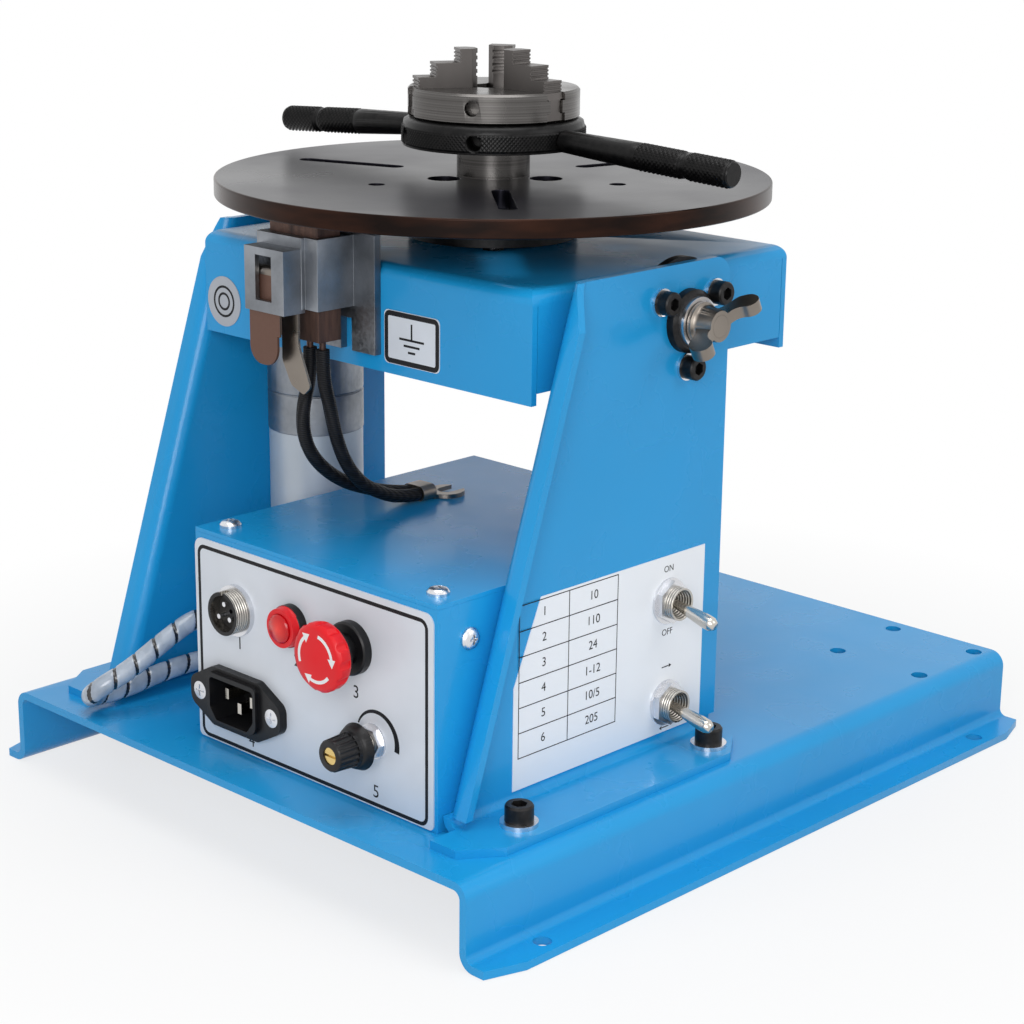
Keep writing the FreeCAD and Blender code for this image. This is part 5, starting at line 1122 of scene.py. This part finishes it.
class POSITIONER_OT_side_print(Operator):
    """Rating grid and switch marks printed on the side label"""
    bl_idname = "positioner.side_print"
    bl_label = "Side print"

    def execute(self, context):
        bottom = GRID_TOP - ROW * len(RATINGS)
        line = 0.00035
        shapes = [stroke([(x, bottom), (x, GRID_TOP)], line) for x in COLUMNS]
        left, right = COLUMNS[0] - line / 2, COLUMNS[-1] + line / 2
        heights = [GRID_TOP - ROW * row for row in range(len(RATINGS) + 1)]
        shapes += [stroke([(left, height), (right, height)], line) for height in heights]
        for row, pair in enumerate(RATINGS):
            for text, left, right in zip(pair, COLUMNS, COLUMNS[1:]):
                height = GRID_TOP - ROW * (row + 0.5)
                shapes.append(lettering(text, GRID_FIGURE, (left + right) / 2, height))
        y = centre("toggle_switches").y
        for word, height in SWITCH_WORDS:
            shapes.append(lettering(word, SWITCH_FIGURE, y, height))
        for height, way in SWITCH_ARROWS:
            shapes.append(stroke([(y - way * 0.0024, height), (y + way * 0.0014, height)], 0.0004))
            shapes.append(arrow_head(y + way * 0.0020, height, 0 if way > 0 else 180, 0.0009))
        print_on("side_print", shapes, side(0, 0), "ink", "root")
        return {"FINISHED"}


class POSITIONER_OT_head_labels(Operator):
    """Framed earth mark and round sticker on the head's front"""
    bl_idname = "positioner.head_labels"
    bl_label = "Head labels"

    def execute(self, context):
        sticker_edge = -0.0200
        dress("head_labels", "film", others=[("sticker", lambda spot: spot.x < sticker_edge)])
        split = centre("brush_holder").x
        right = [vert.co for vert in NODES["head_labels"].data.vertices if vert.co.x > split]
        left, top = min(spot.x for spot in right), max(spot.z for spot in right)
        base, far = min(spot.z for spot in right), max(spot.x for spot in right)
        inset = 0.0011
        frame = rounded_outline(left + inset, far - inset, base + inset, top - inset, 0.0016)
        middle_x, middle_z = (left + far) / 2, (base + top) / 2
        shapes = [stroke(frame, 0.0018, closed=True)]
        shapes.append(stroke([(middle_x, middle_z), (middle_x, middle_z + 0.0058)], 0.0008))
        for number, half in enumerate((0.0062, 0.0040, 0.0018)):
            height = middle_z - 0.0022 * number
            shapes.append(stroke([(middle_x - half, height), (middle_x + half, height)], 0.0008))
        print_on("earth_mark", shapes, front(0, 0, HEAD_FACE), "ink", "head")
        disc = [vert.co for vert in NODES["head_labels"].data.vertices if vert.co.x < sticker_edge]
        disc_x = (min(spot.x for spot in disc) + max(spot.x for spot in disc)) / 2
        disc_z = (min(spot.z for spot in disc) + max(spot.z for spot in disc)) / 2
        rings = [stroke(arc(radius, 0, 360, 48, disc_x, disc_z), 0.0009) for radius in (0.0056, 0.0030)]
        print_on("sticker_mark", rings, front(0, 0, HEAD_FACE), "ink", "head")
        return {"FINISHED"}


# ---------------------------------------------------------------- studio
CAMERA_RIGHT = Vector((0.71709519, 0.69691167, 0.00941387))
CAMERA_UP = Vector((-0.20703496, 0.20009503, 0.95765260))


def light_panel(name, spot, target, width, height, power):
    """Rectangular light that faces target."""
    lamp = bpy.data.lights.new(name, "AREA")
    lamp.shape = "RECTANGLE"
    lamp.size, lamp.size_y = width, height
    lamp.energy = power
    holder = bpy.data.objects.new(name, lamp)
    holder.location = spot
    holder.rotation_euler = (Vector(target) - Vector(spot)).to_track_quat("-Z", "Y").to_euler()
    bpy.context.scene.collection.objects.link(holder)
    return holder


def seen_directly(tree):
    """1 for rays that reach the eye straight, by reflection or through glass."""
    path = tree.nodes.new("ShaderNodeLightPath")
    total = path.outputs["Is Camera Ray"]
    for name in ("Is Glossy Ray", "Is Transmission Ray"):
        joined = tree.nodes.new("ShaderNodeMath")
        joined.operation = "MAXIMUM"
        tree.links.new(total, joined.inputs[0])
        tree.links.new(path.outputs[name], joined.inputs[1])
        total = joined.outputs[0]
    return total


class POSITIONER_OT_stage(Operator):
    """White studio floor, lights, camera and render settings"""
    bl_idname = "positioner.stage"
    bl_label = "Studio"

    def execute(self, context):
        scene = context.scene
        stage = scene.positioner_stage
        self.floor()
        self.world(scene)
        target = (0, -0.03, 0.12)
        light_panel("key_light", (0.75, -1.00, 0.55), target, 0.6, 0.6, stage.key)
        light_panel("side_light", (1.20, 0.45, 0.80), target, 0.6, 0.8, stage.side)
        light_panel("top_light", (0.10, -0.10, 1.25), target, 0.8, 0.8, stage.top)
        self.camera(scene, stage)
        scene.render.engine = "CYCLES"
        scene.cycles.samples = stage.samples
        scene.cycles.use_denoising = True
        scene.render.resolution_x = scene.render.resolution_y = 1024
        scene.view_settings.view_transform = "Standard"
        return {"FINISHED"}

    def floor(self):
        shape = bmesh.new()
        bmesh.ops.create_grid(shape, x_segments=1, y_segments=1, size=6.0)
        mesh = bpy.data.meshes.new("floor")
        shape.to_mesh(mesh)
        shape.free()
        floor = bpy.data.objects.new("floor", mesh)
        floor.location.z = CAD_BOX[0].z - 0.0002
        bpy.context.scene.collection.objects.link(floor)
        finish = Finish("white_floor", base_color=(0.80, 0.80, 0.80), roughness=0.9)
        white = finish.node("Emission", {}, {"Color": (1, 1, 1), "Strength": 1.0})
        x, y = finish.axes()[:2]
        away = (x * x + y * y).root()
        share = finish.span(away, 0.16, 0.34, 0.72, 1.0) * Wire(finish, seen_directly(finish.tree))
        mixed = finish.tree.nodes.new("ShaderNodeMixShader")
        finish.feed(mixed.inputs[0], share)
        finish.tree.links.new(finish.shader.outputs[0], mixed.inputs[1])
        finish.tree.links.new(white.socket, mixed.inputs[2])
        output = finish.tree.nodes["Material Output"]
        finish.tree.links.new(mixed.outputs[0], output.inputs["Surface"])
        mesh.materials.append(finish.material)

    def world(self, scene):
        scene.world = bpy.data.worlds.new("studio")
        scene.world.use_nodes = True
        tree = scene.world.node_tree
        light = tree.nodes["Background"]
        light.inputs["Color"].default_value = (0.90, 0.95, 1.0, 1)
        light.inputs["Strength"].default_value = 0.36
        white = tree.nodes.new("ShaderNodeBackground")
        white.inputs["Color"].default_value = (1, 1, 1, 1)
        mixed = tree.nodes.new("ShaderNodeMixShader")
        tree.links.new(seen_directly(tree), mixed.inputs[0])
        tree.links.new(light.outputs[0], mixed.inputs[1])
        tree.links.new(white.outputs[0], mixed.inputs[2])
        tree.links.new(mixed.outputs[0], tree.nodes["World Output"].inputs["Surface"])

    def camera(self, scene, stage):
        lens = bpy.data.cameras.new("camera")
        lens.sensor_width = 36.0
        lens.lens = stage.lens
        lens.shift_x, lens.shift_y = 0.008236, 0.010887
        lens.clip_start, lens.clip_end = 0.05, 20.0
        camera = bpy.data.objects.new("camera", lens)
        scene.collection.objects.link(camera)
        turned = Matrix((CAMERA_RIGHT, CAMERA_UP, CAMERA_RIGHT.cross(CAMERA_UP))).transposed()
        camera.matrix_world = Matrix.Translation(stage.camera) @ turned.to_4x4()
        scene.camera = camera


class POSITIONER_PT_panel(Panel):
    """Lists the positioner's settings and pieces"""
    bl_idname = "POSITIONER_PT_panel"
    bl_label = "Welding positioner"
    bl_space_type = "VIEW_3D"
    bl_region_type = "UI"
    bl_category = "Positioner"

    def draw(self, context):
        for settings in SETTINGS:
            group = getattr(context.scene, settings)
            box = self.layout.box()
            for name in group.bl_rna.properties.keys():
                if name not in ("rna_type", "name"):
                    box.prop(group, name)
        for operator in OPERATORS:
            self.layout.operator(operator.bl_idname)


SETTINGS = {"positioner_paint": PositionerPaint, "positioner_trim": PositionerTrim,
            "positioner_cords": PositionerCords, "positioner_stage": PositionerStage}
OPERATORS = (
    POSITIONER_OT_finishes, POSITIONER_OT_base, POSITIONER_OT_pivots, POSITIONER_OT_control_box,
             POSITIONER_OT_panel,
             POSITIONER_OT_head, POSITIONER_OT_table, POSITIONER_OT_chuck, POSITIONER_OT_scroll_ring,
             POSITIONER_OT_tommy_bars,
             POSITIONER_OT_earth_brush, POSITIONER_OT_earth_leads, POSITIONER_OT_motor_cable,
             POSITIONER_OT_panel_print,
             POSITIONER_OT_stop_print, POSITIONER_OT_knob_mark, POSITIONER_OT_side_print,
             POSITIONER_OT_head_labels,
             POSITIONER_OT_stage,
             )


def register():
    for kind in (*SETTINGS.values(), *OPERATORS, POSITIONER_PT_panel):
        bpy.utils.register_class(kind)
    for name, kind in SETTINGS.items():
        setattr(bpy.types.Scene, name, PointerProperty(type=kind))


def unregister():
    for name in SETTINGS:
        delattr(bpy.types.Scene, name)
    for kind in reversed((*SETTINGS.values(), *OPERATORS, POSITIONER_PT_panel)):
        bpy.utils.unregister_class(kind)


def main():
    register()
    for operator in OPERATORS:
        group, name = operator.bl_idname.split(".")
        getattr(getattr(bpy.ops, group), name)()


if __name__ == "__main__":
    main()
